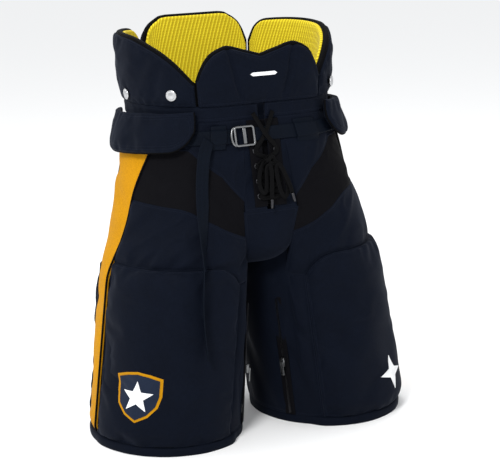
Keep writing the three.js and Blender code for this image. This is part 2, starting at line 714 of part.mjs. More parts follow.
function addLegWraps(side, word) {
  const innerEdge = 360 + coverInnerAngle - 1;
  const inner = halfSurface(side, 124, innerEdge, panelBottomZ, innerTopZ);
  add(`${word}_inner_thigh`, plate(inner, 10, 4, -clothThickness, 0), navyCloth);
  const rear = halfSurface(side, stripeRearAngle + 1.5, 122.5, panelBottomZ, rearTopZ);
  add(`${word}_rear_thigh`, plate(rear, 8, 4, rearPadLift - padThickness, rearPadLift), navyCloth);
}

function addHem(side, word) {
  const step = 10;
  const padRise = (angle) => along([[coverInnerAngle - step, 0], [coverInnerAngle, thighPadRise],
    [-step, thighPadRise], [0, stripeFullness], [stripeRearAngle, stripeFullness],
    [stripeRearAngle + step, rearPadLift], [110, rearPadLift], [130, 0]], angle);
  const outline = (lift) => {
    const points = [];
    for (let angle = -180; angle < 180; angle += step) {
      const here = cloth(side, angle, 0);
      const tangent = cloth(side, angle + 1, 0).sub(cloth(side, angle - 1, 0)).normalize();
      const reach = lift > 0 ? lift + padRise(angle) : lift;
      points.push(new THREE.Vector2(here.x + side * tangent.y * reach,
        here.y - side * tangent.x * reach));
    }
    return side > 0 ? points : points.reverse();
  };
  const shape = new THREE.Shape(outline(hemLift));
  shape.holes.push(new THREE.Path(outline(hemLift - hemThickness)));
  add(`${word}_hem_band`, new THREE.ExtrudeGeometry(shape,
    { depth: hemHeight, bevelEnabled: false }), navyCloth);
}

const zipTopZ = panelBottomZ + zipLength;
const sliderZ = panelBottomZ + 86;
const tapeLift = 0.6;
const tapeThickness = 1.3;

function addZip(side, word) {
  const tapeHalfAngle = 4;
  const tape = halfSurface(side, 360 + zipAngle - tapeHalfAngle, 360 + zipAngle + tapeHalfAngle,
    panelBottomZ, zipTopZ);
  add(`${word}_zip_tape`, plate(tape, 2, 6, tapeLift, tapeLift + tapeThickness), zipTapeCloth);

  const shield = new THREE.Shape();
  const [half, length] = [sliderWidth / 2, sliderLength / 2];
  shield.moveTo(-half * 0.6, -length);
  shield.lineTo(half * 0.6, -length);
  shield.lineTo(half, length * 0.5);
  shield.lineTo(half * 0.7, length);
  shield.lineTo(-half * 0.7, length);
  shield.lineTo(-half, length * 0.5);
  const body = new THREE.ExtrudeGeometry(shield, { depth: sliderThickness, bevelEnabled: false });
  const sliderLift = tapeLift + tapeThickness + 0.5;
  const slider = add(`${word}_zip_slider`, body, steel);
  seatOn(slider, side, 360 + zipAngle, sliderZ, sliderLift);

  const tab = rectangle(new THREE.Shape(), -pullWidth / 2, -pullLength, pullWidth / 2, 0, 1.5);
  tab.holes.push(rectangle(new THREE.Path(), -1.4, -5.5, 1.4, -2, 0.8));
  const pull = new THREE.ExtrudeGeometry(tab,
    { depth: pullThickness, bevelEnabled: false, curveSegments: 2 });
  seatOn(add(`${word}_zip_pull`, pull, steel), side, 360 + zipAngle, sliderZ + 2,
    sliderLift + sliderThickness + 0.5);
}

// ---- Assembly --------------------------------------------------------------------------------
addSeat();
addCrotchPanel();
addFlyTongue();
addWaistband();
addTailbonePad();
addBelt();
addLoops();
addTail();
addBuckle();
addLace();
addBelly();
addBack();
for (const [side, word] of [[-1, "right"], [1, "left"]]) {
  addYoke(side, word);
  addBow(word);
  addSide(side, word);
  addButtons(side, word);
  addFlap(side, word);
  addUpperLeg(side, word);
  addStripe(side, word);
  addThighPad(side, word);
  addLegWraps(side, word);
  addHem(side, word);
  addZip(side, word);
}

parts.position.y = -middleSetback;

export default parts;
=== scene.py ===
"""Padded hockey pants: cloth, pads, webbing, lace and metal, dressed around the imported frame."""

import json
import math

import bmesh
import bpy
import numpy as np
from mathutils import Matrix, Vector
from mathutils.bvhtree import BVHTree

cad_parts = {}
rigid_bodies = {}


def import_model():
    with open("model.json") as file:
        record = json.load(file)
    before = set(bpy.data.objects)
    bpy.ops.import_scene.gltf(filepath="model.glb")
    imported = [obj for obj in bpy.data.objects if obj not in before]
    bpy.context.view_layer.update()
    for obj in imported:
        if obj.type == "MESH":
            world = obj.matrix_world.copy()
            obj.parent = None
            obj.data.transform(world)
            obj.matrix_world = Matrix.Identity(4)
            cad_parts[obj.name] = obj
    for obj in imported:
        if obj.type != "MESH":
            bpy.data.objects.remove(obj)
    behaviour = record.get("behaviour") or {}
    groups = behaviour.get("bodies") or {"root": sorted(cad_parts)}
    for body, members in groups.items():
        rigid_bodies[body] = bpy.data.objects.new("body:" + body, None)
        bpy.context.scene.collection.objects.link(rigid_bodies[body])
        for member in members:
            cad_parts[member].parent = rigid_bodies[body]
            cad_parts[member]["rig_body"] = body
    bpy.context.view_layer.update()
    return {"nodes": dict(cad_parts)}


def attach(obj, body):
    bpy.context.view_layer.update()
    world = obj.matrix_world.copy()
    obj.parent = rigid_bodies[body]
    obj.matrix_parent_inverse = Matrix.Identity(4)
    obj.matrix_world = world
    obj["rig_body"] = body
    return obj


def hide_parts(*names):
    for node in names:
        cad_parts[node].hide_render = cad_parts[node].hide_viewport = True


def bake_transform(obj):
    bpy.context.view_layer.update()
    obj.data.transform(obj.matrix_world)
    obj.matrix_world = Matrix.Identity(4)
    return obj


bl_info = {
    "name": "Hockey Pants",
    "version": (1, 0, 0),
    "blender": (4, 5, 0),
    "location": "View3D > Sidebar > Pants",
    "description": "Builds the cloth, pads, webbing, lace and metal of padded hockey pants",
    "category": "Object",
}

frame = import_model()

MM = 0.001
SIDES = ((-1, "right"), (1, "left"))

# ---- Heights and layers of the pants, in millimetres, as the frame has them ------------------
CROTCH = 250.0
WAIST = 486.0
BAND_TOP = 508.0
BELT = 462.0
PAD_BOTTOM = 509.5
YOKE_SIDE = 445.0
YOKE_TOP = 487.0
FORK = 350.0
COVER_TOP = 274.0
PANEL_BOTTOM = 13.5
HEM_HEIGHT = 12.0
MIDDLE_SETBACK = 18.0
GUSSET = -133.0
STRIPE_REAR = 36.0
COVER_INNER = -118.0
ZIP_ANGLE = 216.0
SEAT_BOTTOM = 240.0
INNER_TOP = 247.0
ZIP_RUN = 50.0
TUCK = 1.5


# ---- The body form ---------------------------------------------------------------------------
LEVELS = np.array((0, CROTCH, 336, 380, YOKE_SIDE, WAIST, 524, 620), float)
STRAIGHT = np.array((136, 107, 89, 78, 66, 58, 60, 62), float)
WIDTH = np.array((114, 107, 104, 104, 100, 94, 97, 102), float)
DEPTH = np.array((127, 128, 128, 128, 124, 120, 122, 126), float)
SETBACK = np.array((0, 8, 15, 22, 30, 36, 38, 40), float)


def along(points, place):
    """A line through (place, value) points, flat beyond its ends."""
    at, value = zip(*points)
    return np.interp(place, at, value)


def smooth_along(points, place):
    """A smooth curve through (place, value) points, flat beyond its ends."""
    at, value = (np.array(numbers, float) for numbers in zip(*points))
    last = len(at) - 1
    before, after = np.maximum(np.arange(last + 1) - 1, 0), np.minimum(np.arange(last + 1) + 1, last)
    slope = (value[after] - value[before]) / (at[after] - at[before])
    place = np.clip(np.asarray(place, float), at[0], at[-1])
    k = np.clip(np.searchsorted(at, place), 1, last)
    span = at[k] - at[k - 1]
    t = (place - at[k - 1]) / span
    return (
        value[k - 1] * (2 * t**3 - 3 * t**2 + 1)
        + value[k] * (3 * t**2 - 2 * t**3)
        + slope[k - 1] * span * (t**3 - 2 * t**2 + t)
        + slope[k] * span * (t**3 - t**2)
    )


def read_level(values, z):
    """One size of the form at a height, with the corners between its levels eased."""
    return sum(np.interp(z + shift, LEVELS, values) for shift in (-12, 0, 12)) / 3


def cloth(side, angle, z):
    """Points on the cloth. Angle -90 is a half's front, 0 its outer side and 90 its back; beyond
    them it goes round the leg, or above the fork along the straight run to the middle."""
    side, angle, z = np.broadcast_arrays(
        *(np.asarray(value, float) for value in (side, angle, z))
    )
    straight, width = read_level(STRAIGHT, z), read_level(WIDTH, z)
    depth, setback = read_level(DEPTH, z), read_level(SETBACK, z)
    turn = np.radians(angle)
    x, y = straight + width * np.cos(turn), depth * np.sin(turn)
    inner = np.abs(angle) - 90
    share = np.clip((z - CROTCH) / (FORK - CROTCH), 0, 1)
    share = np.where((inner > 0) & (inner <= 90), share, 0)
    x = x + (straight * (1 - inner / 90) - x) * share
    y = y + (np.sign(angle) * depth - y) * share
    return np.stack((side * x, setback + y - MIDDLE_SETBACK, z), -1)


def round_waist(place, z):
    """Points round the waist: 0 is the front middle, 360 the back middle, 720 the front again."""
    turned = np.where(place > 360, place - 720, place)
    return cloth(np.where(turned < 0, -1, 1), np.abs(turned) - 180, z)


def front_angle(from_middle, z):
    return -180 + 90 * from_middle / read_level(STRAIGHT, z)


def front_y(z):
    return float(cloth(1, -180, z)[1])


def read_edge(edge, value):
    return edge(value) if callable(edge) else np.full(np.shape(value), float(edge))


def half_surface(side, start, end, bottom, top):
    """A surface on one half between two angles, its bottom and top edges read by angle."""

    def surface(u, v):
        share = u if side > 0 else 1 - u
        guess = read_edge(start, np.zeros_like(u)) * (1 - share) + read_edge(end, np.zeros_like(u)) * share
        z = read_edge(bottom, guess) * (1 - v) + read_edge(top, guess) * v
        angle = read_edge(start, z) * (1 - share) + read_edge(end, z) * share
        z = read_edge(bottom, angle) * (1 - v) + read_edge(top, angle) * v
        return cloth(side, angle, z)

    return surface


def waist_surface(start, end, bottom, top):
    """A surface round the waist between two places, its bottom and top edges read by place."""

    def surface(u, v):
        place = start + (end - start) * u
        z = read_edge(bottom, place) * (1 - v) + read_edge(top, place) * v
        return round_waist(np.mod(place, 720), z)

    return surface


def outward(surface, u, v):
    step = 2e-3
    along_u = surface(np.minimum(u + step, 1), v) - surface(np.maximum(u - step, 0), v)
    along_v = surface(u, np.minimum(v + step, 1)) - surface(u, np.maximum(v - step, 0))
    normal = np.cross(along_u, along_v)
    return normal / np.maximum(np.linalg.norm(normal, axis=-1, keepdims=True), 1e-9)


# ---- Edges that neighbours share -------------------------------------------------------------
def stripe_front(z):
    return smooth_along(
        ((0, 1), (236, 0), (262, -1), (276, -3), (300, -7), (335, -12), (384, -16), (445, -28)), z
    )


def yoke_edge(angle):
    return smooth_along(((GUSSET, 366), (-126, 372), (-94, 400), (-77, 420), (-60, YOKE_SIDE)), angle)


def stretch_edge(angle):
    return smooth_along(
        ((GUSSET, 312), (-124, 316), (-88, 338), (-64, 360), (-42, 366), (-14, 370)), angle
    )


def cover_edge(angle):
    return smooth_along(((COVER_INNER, 240), (-113, 254), (-104, 268), (-92, COVER_TOP)), angle)


# ---- Soft relief -----------------------------------------------------------------------------
def cloudy(x, y, seed):
    """Smooth noise of two coordinates, from about -1 to 1, one lump to a unit."""
    table = np.random.RandomState(seed).uniform(-1, 1, (61, 61))
    i, j = np.floor(x).astype(int), np.floor(y).astype(int)
    s, t = x - i, y - j
    s, t = s * s * (3 - 2 * s), t * t * (3 - 2 * t)

    def pick(a, b):
        return table[(i + a) % 61, (j + b) % 61]

    low = pick(0, 0) * (1 - s) + pick(1, 0) * s
    high = pick(0, 1) * (1 - s) + pick(1, 1) * s
    return low * (1 - t) + high * t


FOLD_CONTRAST = 2.2


def folds(u, v, lean, across, length, seed):
    """Long soft folds: lean turns them from upright, across and length are their size."""
    turn = math.radians(lean)
    x = u * math.cos(turn) + v * math.sin(turn)
    y = -u * math.sin(turn) + v * math.cos(turn)
    wander = 0.6 * cloudy(x / (2.2 * across), y / length, seed + 7)
    return np.tanh(FOLD_CONTRAST * cloudy(x / across + wander, y / length, seed))


def near(distance, width):
    return np.exp(-((distance / width) ** 2))


def creases(u, v, lean, across, length, seed):
    """Narrow raised creases, from 0 to 1, that wander the way the long folds do."""
    return near(folds(u, v, lean, across, length, seed), 0.3)


# ---- Mesh helpers ----------------------------------------------------------------------------
def object_from(name, mesh, finish, smooth=True):
    """Turns a bmesh in millimetres into an object at the origin."""
    bmesh.ops.scale(mesh, vec=(MM, MM, MM), verts=mesh.verts)
    data = bpy.data.meshes.new(name)
    mesh.to_mesh(data)
    mesh.free()
    obj = bpy.data.objects.new(name, data)
    bpy.context.scene.collection.objects.link(obj)
    data.materials.append(finish)
    if smooth:
        data.shade_smooth()
    return obj


def subdivide(obj, levels=1):
    modifier = obj.modifiers.new("Rounding", "SUBSURF")
    modifier.levels = modifier.render_levels = levels
    return obj


def round_off(obj, width, segments=2):
    modifier = obj.modifiers.new("Edge", "BEVEL")
    modifier.width = width * MM
    modifier.segments = segments
    modifier.limit_method = "ANGLE"
    modifier.harden_normals = False
    return obj


RIM = (0.0, 0.7, 2.0, 3.8, 6.0)


def spaced(length, step):
    """Shares of a length, closer together near both ends so that an edge can be rounded."""
    rim = [d for d in RIM if d < length * 0.3]
    count = max(2, round((length - 2 * rim[-1]) / step) + 1)
    middle = np.linspace(rim[-1], length - rim[-1], count)
    ends = np.array(rim[:-1])
    return np.concatenate((ends, middle, (length - ends)[::-1])) / length


def grid_of(columns, rows):
    """A flat bmesh grid; grid_places finds each vertex's column and row."""
    mesh = bmesh.new()
    bmesh.ops.create_grid(mesh, x_segments=columns, y_segments=rows, size=0.5)
    return mesh


def grid_places(mesh, columns, rows):
    at = np.array([vertex.co for vertex in mesh.verts], float)
    column = np.rint((at[:, 0] + 0.5) * columns).astype(int)
    row = np.rint((at[:, 1] + 0.5) * rows).astype(int)
    return column, row


def place_vertices(mesh, points):
    for vertex, point in zip(mesh.verts, points):
        vertex.co = point


def arc_lengths(points, axis):
    steps = np.linalg.norm(np.diff(points, axis=axis), axis=-1)
    start = np.zeros_like(np.take(steps, [0], axis=axis))
    return np.concatenate((start, np.cumsum(steps, axis=axis)), axis=axis)


def shell(name, surface, outside, inside, finish, step=6.0, rows_step=None, crown=5.0, thin=0.4,
          relief=None, under=None):
    """A closed piece bent over surface(u, v), from one height above it to another. Its rim is
    rounded over the crown's width; relief and under add lift to its two faces."""
    coarse_u, coarse_v = np.meshgrid(np.linspace(0, 1, 33), np.linspace(0, 1, 33))
    coarse = surface(coarse_u, coarse_v)
    us = spaced(float(arc_lengths(coarse, 1)[:, -1].max()), step)
    vs = spaced(float(arc_lengths(coarse, 0)[-1].max()), rows_step or step)
    columns, rows = len(us) - 1, len(vs) - 1

    grid_u, grid_v = np.meshgrid(us, vs)
    points, normals = surface(grid_u, grid_v), outward(surface, grid_u, grid_v)
    run_u, run_v = arc_lengths(points, 1), arc_lengths(points, 0)
    to_sides = np.minimum(run_u, run_u[:, -1:] - run_u)
    to_ends = np.minimum(run_v, run_v[-1:] - run_v)
    edge = np.minimum(to_sides, to_ends)
    run = np.where(to_sides < to_ends, run_v, run_u)
    bow = np.sqrt(1 - (1 - np.clip(edge / crown, 0, 1)) ** 2)
    share = thin + (1 - thin) * bow
    middle = (outside + inside) / 2
    over = 0 if relief is None else relief(run_u, run_v, edge)
    below = 0 if under is None else under(run_u, run_v, edge)
    faces = {
        "outer": points + normals * (middle + (outside - middle) * share + over)[..., None],
        "inner": points + normals * (middle + (inside - middle) * share + below)[..., None],
    }

    mesh = grid_of(columns, rows)
    outer = mesh.verts[:]
    mesh.faces.ensure_lookup_table()
    extruded = bmesh.ops.extrude_face_region(mesh, geom=mesh.faces[:])
    inner = {item for item in extruded["geom"] if isinstance(item, bmesh.types.BMVert)}
    column, row = grid_places(mesh, columns, rows)
    is_inner = np.array([vertex in inner for vertex in mesh.verts])
    chosen = np.where(is_inner[:, None], faces["inner"][row, column], faces["outer"][row, column])
    place_vertices(mesh, chosen)
    bmesh.ops.recalc_face_normals(mesh, faces=mesh.faces)
    if len(outer) != is_inner.size - is_inner.sum():
        raise RuntimeError(f"{name}: the cut has lost a face")
    obj = object_from(name, mesh, finish)
    keep_cut(obj, run_u[row, column], run_v[row, column], edge[row, column], run[row, column],
             is_inner)
    return obj


def keep_cut(obj, run_u, run_v, edge, run, is_inner):
    """Stores where each point lies on the cut cloth: a UV map and seam distances, in metres."""
    data = obj.data
    layer = data.uv_layers.new(name="cut")
    loops = np.zeros(len(data.loops), int)
    data.loops.foreach_get("vertex_index", loops)
    flat = np.stack((run_u[loops], run_v[loops]), -1) * MM
    layer.data.foreach_set("uv", flat.astype(np.float32).ravel())
    for title, values in (("seam", edge * MM), ("along_seam", run * MM)):
        attribute = data.attributes.new(title, "FLOAT", "POINT")
        attribute.data.foreach_set("value", values.astype(np.float32))
    held = obj.vertex_groups.new(name="held")
    held.add([int(i) for i in np.nonzero(is_inner | (edge < 1.5))[0]], 1.0, "REPLACE")


def swell(obj, pressure, slack, cap, bend=0.6, smooth=2):
    """Cloth simulation: the held rim and back stay, the face is blown up with some slack."""
    scene = bpy.context.scene
    rest = np.array([vertex.co for vertex in obj.data.vertices], float)
    modifier = obj.modifiers.new("Cloth", "CLOTH")
    settings = modifier.settings
    settings.quality = 4
    settings.mass = 0.3
    settings.tension_stiffness = settings.compression_stiffness = 15
    settings.shear_stiffness = 5
    settings.bending_stiffness = bend
    settings.use_pressure = True
    settings.uniform_pressure_force = pressure
    settings.effector_weights.gravity = 0
    settings.vertex_group_mass = "held"
    settings.shrink_min = -slack
    modifier.collision_settings.use_collision = False
    modifier.collision_settings.use_self_collision = False
    modifier.point_cache.frame_start, modifier.point_cache.frame_end = 1, 20
    for number in range(1, 21):
        scene.frame_set(number)
    graph = bpy.context.evaluated_depsgraph_get()
    shaped = obj.evaluated_get(graph).data
    moved = np.array([vertex.co for vertex in shaped.vertices], float)
    scene.frame_set(1)
    obj.modifiers.remove(modifier)
    shift = moved - rest
    length = np.linalg.norm(shift, axis=1, keepdims=True)
    shift *= np.minimum(1, cap * MM / np.maximum(length, 1e-9))
    obj.data.vertices.foreach_set("co", (rest + shift).astype(np.float32).ravel())
    obj.data.update()
    return obj


def tube(name, path, face, half_width, half_thickness, finish, sides=12, closed=False,
         squareness=1.0):
    """A cord, strap or piping along a path, its flat side turned to the face directions."""
    path, face = np.asarray(path, float), np.asarray(face, float)
    if closed:
        tangent = np.roll(path, -1, 0) - np.roll(path, 1, 0)
    else:
        tangent = np.gradient(path, axis=0)
    tangent /= np.linalg.norm(tangent, axis=1, keepdims=True)
    across = np.cross(tangent, face)
    across /= np.linalg.norm(across, axis=1, keepdims=True)
    out = np.cross(across, tangent)
    rows = len(path) if closed else len(path) - 1
    mesh = grid_of(sides, rows)
    column, row = grid_places(mesh, sides, rows)
    turn = 2 * np.pi * column / sides

    def squared(value):
        return np.sign(value) * np.abs(value) ** squareness

    run = arc_lengths(path, 0)
    row_at = row % len(path)
    width = np.broadcast_to(half_width, len(path))[row_at]
    thickness = np.broadcast_to(half_thickness, len(path))[row_at]
    points = (
        path[row_at]
        + across[row_at] * (squared(np.cos(turn)) * width)[:, None]
        + out[row_at] * (squared(np.sin(turn)) * thickness)[:, None]
    )
    place_vertices(mesh, points)
    layer = mesh.loops.layers.uv.new("cut")
    lookup = {vertex.index: (c, r) for vertex, c, r in zip(mesh.verts, column, row)}
    mesh.verts.index_update()
    girth = 2 * (float(np.max(half_width)) + float(np.max(half_thickness)))
    total = float(run[-1]) if not closed else float(run[-1]) * rows / (rows - 1)
    for polygon in mesh.faces:
        for loop in polygon.loops:
            c, r = lookup[loop.vert.index]
            loop[layer].uv = (girth * c / sides * MM, total * r / rows * MM)
    bmesh.ops.remove_doubles(mesh, verts=mesh.verts, dist=1e-4)
    if not closed:
        bmesh.ops.holes_fill(mesh, edges=[edge for edge in mesh.edges if edge.is_boundary])
    bmesh.ops.recalc_face_normals(mesh, faces=mesh.faces)
    return object_from(name, mesh, finish)


def smooth_path(points, count):
    """A smooth line through given points, evenly divided."""
    points = np.array(points, float)
    padded = np.vstack((2 * points[0] - points[1], points, 2 * points[-1] - points[-2]))
    fine = []
    for i in range(1, len(padded) - 2):
        p0, p1, p2, p3 = padded[i - 1 : i + 3]
        t = np.linspace(0, 1, 24, endpoint=False)[:, None]
        fine.append(
            0.5 * (2 * p1 + (p2 - p0) * t + (2 * p0 - 5 * p1 + 4 * p2 - p3) * t**2
                   + (3 * p1 - p0 - 3 * p2 + p3) * t**3)
        )
    fine = np.vstack(fine + [points[-1:]])
    run = arc_lengths(fine, 0)
    at = np.linspace(0, run[-1], count)
    return np.stack([np.interp(at, run, fine[:, k]) for k in range(3)], -1)


def edge_line(surface, u, v, lift):
    """Points and outward directions along a line drawn on a surface."""
    u, v = np.asarray(u, float), np.asarray(v, float)
    normal = outward(surface, u, v)
    return surface(u, v) + normal * np.asarray(lift)[..., None], normal


def piping(name, surface, u, v, lift, radius, finish, closed=False):
    path, normal = edge_line(surface, u, v, np.broadcast_to(lift, len(u)))
    run = arc_lengths(path, 0)
    count = max(12, int(run[-1] / 4))
    at = np.linspace(0, run[-1], count)
    path = np.stack([np.interp(at, run, path[:, k]) for k in range(3)], -1)
    normal = np.stack([np.interp(at, run, normal[:, k]) for k in range(3)], -1)
    half = (radius, radius) if np.isscalar(radius) else radius
    return tube(name, path, normal, half[0], half[1], finish, sides=10, closed=closed)


def join(name, pieces):
    """Joins several meshes into the first one and gives it a name."""
    with bpy.context.temp_override(active_object=pieces[0], selected_editable_objects=pieces,
                                   selected_objects=pieces):
        bpy.ops.object.join()
    pieces[0].name = name
    pieces[0].data.name = name
    return pieces[0]


def hang(obj, body, slot, *nodes):
    """The piece rides on a body and stands for CAD nodes; its finish slot is not used."""
    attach(obj, body)
    if nodes:
        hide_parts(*nodes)
    return obj


def bend_with(obj, parent, child, start, end, slot, *nodes):
    """The piece keeps its place, rides on no body and stands for CAD nodes; the two bodies and the points between
    them are not used.
    """
    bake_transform(obj)
    if nodes:
        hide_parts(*nodes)
    return obj


# ---- Finishes --------------------------------------------------------------------------------
class Line:
    """A socket that can stand in a sum, so that shader maths reads as an expression."""

    def __init__(self, socket):
        self.socket = socket

    def maths(self, operation, *others):
        node = self.socket.id_data.nodes.new("ShaderNodeMath")
        node.operation = operation
        for socket, value in zip(node.inputs, (self, *others)):
            connect(socket, value)
        return Line(node.outputs[0])

    def reflected(self, operation, other):
        node = self.socket.id_data.nodes.new("ShaderNodeMath")
        node.operation = operation
        connect(node.inputs[0], other)
        connect(node.inputs[1], self)
        return Line(node.outputs[0])

    def __add__(self, other):
        return self.maths("ADD", other)

    def __radd__(self, other):
        return self.reflected("ADD", other)

    def __sub__(self, other):
        return self.maths("SUBTRACT", other)

    def __rsub__(self, other):
        return self.reflected("SUBTRACT", other)

    def __mul__(self, other):
        return self.maths("MULTIPLY", other)

    def __rmul__(self, other):
        return self.reflected("MULTIPLY", other)

    def __truediv__(self, other):
        return self.maths("DIVIDE", other)

    def __gt__(self, other):
        return self.maths("GREATER_THAN", other)

    def __lt__(self, other):
        return self.maths("LESS_THAN", other)

    def within(self, middle, reach):
        """1 within a reach of a value, else 0."""
        return self.maths("COMPARE", middle, reach)


def connect(socket, value):
    if isinstance(value, Line):
        socket.id_data.links.new(value.socket, socket)
    else:
        socket.default_value = value


class Recipe:
    """The nodes of one material."""

    def __init__(self, name):
        self.material = bpy.data.materials.new(name)
        self.material.use_nodes = True
        self.tree = self.material.node_tree
        self.tree.nodes.clear()

    def node(self, kind, settings=None, values=None, out=0):
        """Any node: its settings first, then the values or links of its sockets."""
        made = self.tree.nodes.new("ShaderNode" + kind)
        for key, value in (settings or {}).items():
            if key == "stops":
                ramp = made.color_ramp.elements
                while len(ramp) < len(value):
                    ramp.new(0.5)
                for element, (at, colour) in zip(ramp, value):
                    element.position, element.color = at, colour
            else:
                setattr(made, key, value)
        for key, value in (values or {}).items():
            connect(made.inputs[key], value)
        return Line(made.outputs[out])

    def mix(self, share, first, second):
        """A colour between two colours."""
        return self.node("Mix", {"data_type": "RGBA"}, {0: share, 6: first, 7: second}, 2)

    def noise(self, place, scale, detail=3.0, rough=0.55):
        return self.node("TexNoise", None, {"Vector": place, "Scale": scale, "Detail": detail,
                                            "Roughness": rough})

    def stretched(self, place, scale):
        return self.node("Mapping", None, {"Vector": place, "Scale": scale})

    def finish(self, **values):
        """The shader, with plain numbers set on its own sockets, and the output."""
        surface = self.node("BsdfPrincipled", None,
                            {key.replace("_", " "): value for key, value in values.items()})
        output = self.tree.nodes.new("ShaderNodeOutputMaterial")
        self.tree.links.new(surface.socket, output.inputs["Surface"])
        return self.material


def rgba(colour, factor=1.0):
    return (*(min(1.0, part * factor) for part in colour[:3]), 1.0)


FINISHES = {}


def woven(name, colour, thread=1100.0, roughness=0.75, sheen=0.03, tint=(0.6, 0.7, 1.0),
          stitches=(), stitch_colour=None, weave=0.35, mottle=0.25, gloss=0.04):
    """Plain woven cloth: slubby threads both ways, mottled dye, a lighter flecked band along the rims and sewn
    rows.
    """
    if name in FINISHES:
        return FINISHES[name]
    recipe = Recipe(name)
    cut = recipe.node("UVMap", {"uv_map": "cut"})
    place = recipe.node("TexCoord", None, None, 3)
    warp = recipe.noise(recipe.stretched(cut, (thread, thread * 0.12, 1.0)), 1.0, 1.0)
    weft = recipe.noise(recipe.stretched(cut, (thread * 0.12, thread, 1.0)), 1.0, 1.0)
    threads = warp + weft - 1.0
    patch = recipe.noise(place, 26.0, 4.0)
    fine = recipe.noise(place, 210.0, 2.0)
    seam = recipe.node("Attribute", {"attribute_name": "seam"}, None, 2)
    run = recipe.node("Attribute", {"attribute_name": "along_seam"}, None, 2)
    # Lightens the cloth in fine flecks from about 0.2 to 3 mm inside a piece's rim.
    rim_lightening = recipe.node("MapRange", {"clamp": True},
                       {"Value": seam, "From Min": 0.0004, "From Max": 0.003, "To Min": 1.0,
                        "To Max": 0.0})
    rim_lightening = rim_lightening * (seam > 0.0002) * fine
    shade = 1.0 + (patch - 0.5) * mottle * 2 + threads * 0.5 + rim_lightening * 0.5
    tone = recipe.node("VectorMath", {"operation": "SCALE"},
                       {0: rgba(colour)[:3], "Scale": shade})
    height = threads * weave + (fine - 0.5) * 0.25
    rows = None
    for distance in stitches:
        line = seam.within(distance * MM, 0.00045)
        dash = (run * 300.0).maths("FRACT") < 0.68
        groove = recipe.node("MapRange", {"clamp": True},
                             {"Value": (seam - distance * MM).maths("ABSOLUTE"), "From Min": 0.0,
                              "From Max": 0.0022, "To Min": 1.0, "To Max": 0.0})
        sewn = line * dash
        height = height - groove * 1.6 + sewn * 1.2
        rows = sewn if rows is None else rows.maths("MAXIMUM", sewn)
    if rows is not None:
        thread_colour = stitch_colour or [min(1.0, part * 1.5 + 0.001) for part in colour[:3]]
        tone = recipe.mix(rows, tone, rgba(thread_colour))
    bump = recipe.node("Bump", None, {"Strength": 0.55, "Distance": 0.0006, "Height": height})
    rough = roughness + (patch - 0.5) * 0.12 - threads * 0.1
    FINISHES[name] = recipe.finish(
        Base_Color=tone, Roughness=rough, Normal=bump, Sheen_Weight=sheen, Sheen_Roughness=0.45,
        Sheen_Tint=(*tint, 1.0), Specular_IOR_Level=gloss,
    )
    return FINISHES[name]


def ribbed(name, colour, pitch, across, depth, roughness=0.6, sheen=0.0, second=None, gloss=0.03):
    """Webbing, lace, knit or binding: ribs at a pitch, across the piece or along it, with painted shade darkening
    the grooves between them.
    """
    if name in FINISHES:
        return FINISHES[name]
    recipe = Recipe(name)
    cut = recipe.node("UVMap", {"uv_map": "cut"})
    place = recipe.node("TexCoord", None, None, 3)
    split = recipe.tree.nodes.new("ShaderNodeSeparateXYZ")
    recipe.tree.links.new(cut.socket, split.inputs[0])
    run = Line(split.outputs[1 if across else 0])
    other = Line(split.outputs[0 if across else 1])
    rib = (run * (2 * math.pi / (pitch * MM))).maths("SINE") * 0.5 + 0.5
    slub = (other * (2 * math.pi / (pitch * 0.7 * MM))).maths("SINE") * 0.5 + 0.5
    fine = recipe.noise(place, 600.0, 2.0)
    patch = recipe.noise(place, 40.0, 3.0)
    # The rib and slub terms darken the tone in the grooves, where the bump dips: painted shade. Patch and fine are
    # tone that differs at random.
    shade = 0.62 + rib * 0.4 + slub * 0.1 + (patch - 0.5) * 0.35 + (fine - 0.5) * 0.25
    tone = recipe.node("VectorMath", {"operation": "SCALE"}, {0: rgba(colour)[:3], "Scale": shade})
    # A second, darker colour fills the grooves between the ribs as painted shade.
    if second is not None:
        tone = recipe.mix(rib.maths("POWER", 2.0) * 0.8, rgba(second), tone)
    height = rib + slub * 0.3 + (fine - 0.5) * 0.4
    bump = recipe.node("Bump", None, {"Strength": 0.6, "Distance": depth * MM, "Height": height})
    FINISHES[name] = recipe.finish(
        Base_Color=tone, Roughness=roughness + (patch - 0.5) * 0.15, Normal=bump,
        Sheen_Weight=sheen, Sheen_Roughness=0.4, Specular_IOR_Level=gloss,
    )
    return FINISHES[name]


def plated(name, colour, roughness):
    """Plated metal with fine rubbing marks and a little dulling in patches."""
    if name in FINISHES:
        return FINISHES[name]
    recipe = Recipe(name)
    place = recipe.node("TexCoord", None, None, 3)
    brushed = recipe.noise(recipe.stretched(place, (900.0, 900.0, 160.0)), 1.0, 3.0)
    patch = recipe.noise(place, 90.0, 4.0)
    tone = recipe.mix(patch * 0.6, rgba(colour), rgba(colour, 0.72))
    bump = recipe.node("Bump", None, {"Strength": 0.12, "Distance": 0.0002, "Height": brushed})
    rough = roughness + (brushed - 0.5) * 0.16 + (patch - 0.5) * 0.12
    FINISHES[name] = recipe.finish(Base_Color=tone, Metallic=1.0, Roughness=rough, Normal=bump)
    return FINISHES[name]


def moulded(name, colour, roughness, grain):
    """Moulded plastic or cut foam with a fine grain."""
    if name in FINISHES:
        return FINISHES[name]
    recipe = Recipe(name)
    place = recipe.node("TexCoord", None, None, 3)
    fine = recipe.noise(place, grain, 4.0)
    patch = recipe.noise(place, 30.0, 3.0)
    tone = recipe.mix(patch * 0.5 + fine * 0.3, rgba(colour), rgba(colour, 0.8))
    bump = recipe.node("Bump", None, {"Strength": 0.3, "Distance": 0.0004, "Height": fine})
    FINISHES[name] = recipe.finish(Base_Color=tone, Roughness=roughness + (fine - 0.5) * 0.1,
                                   Normal=bump)
    return FINISHES[name]


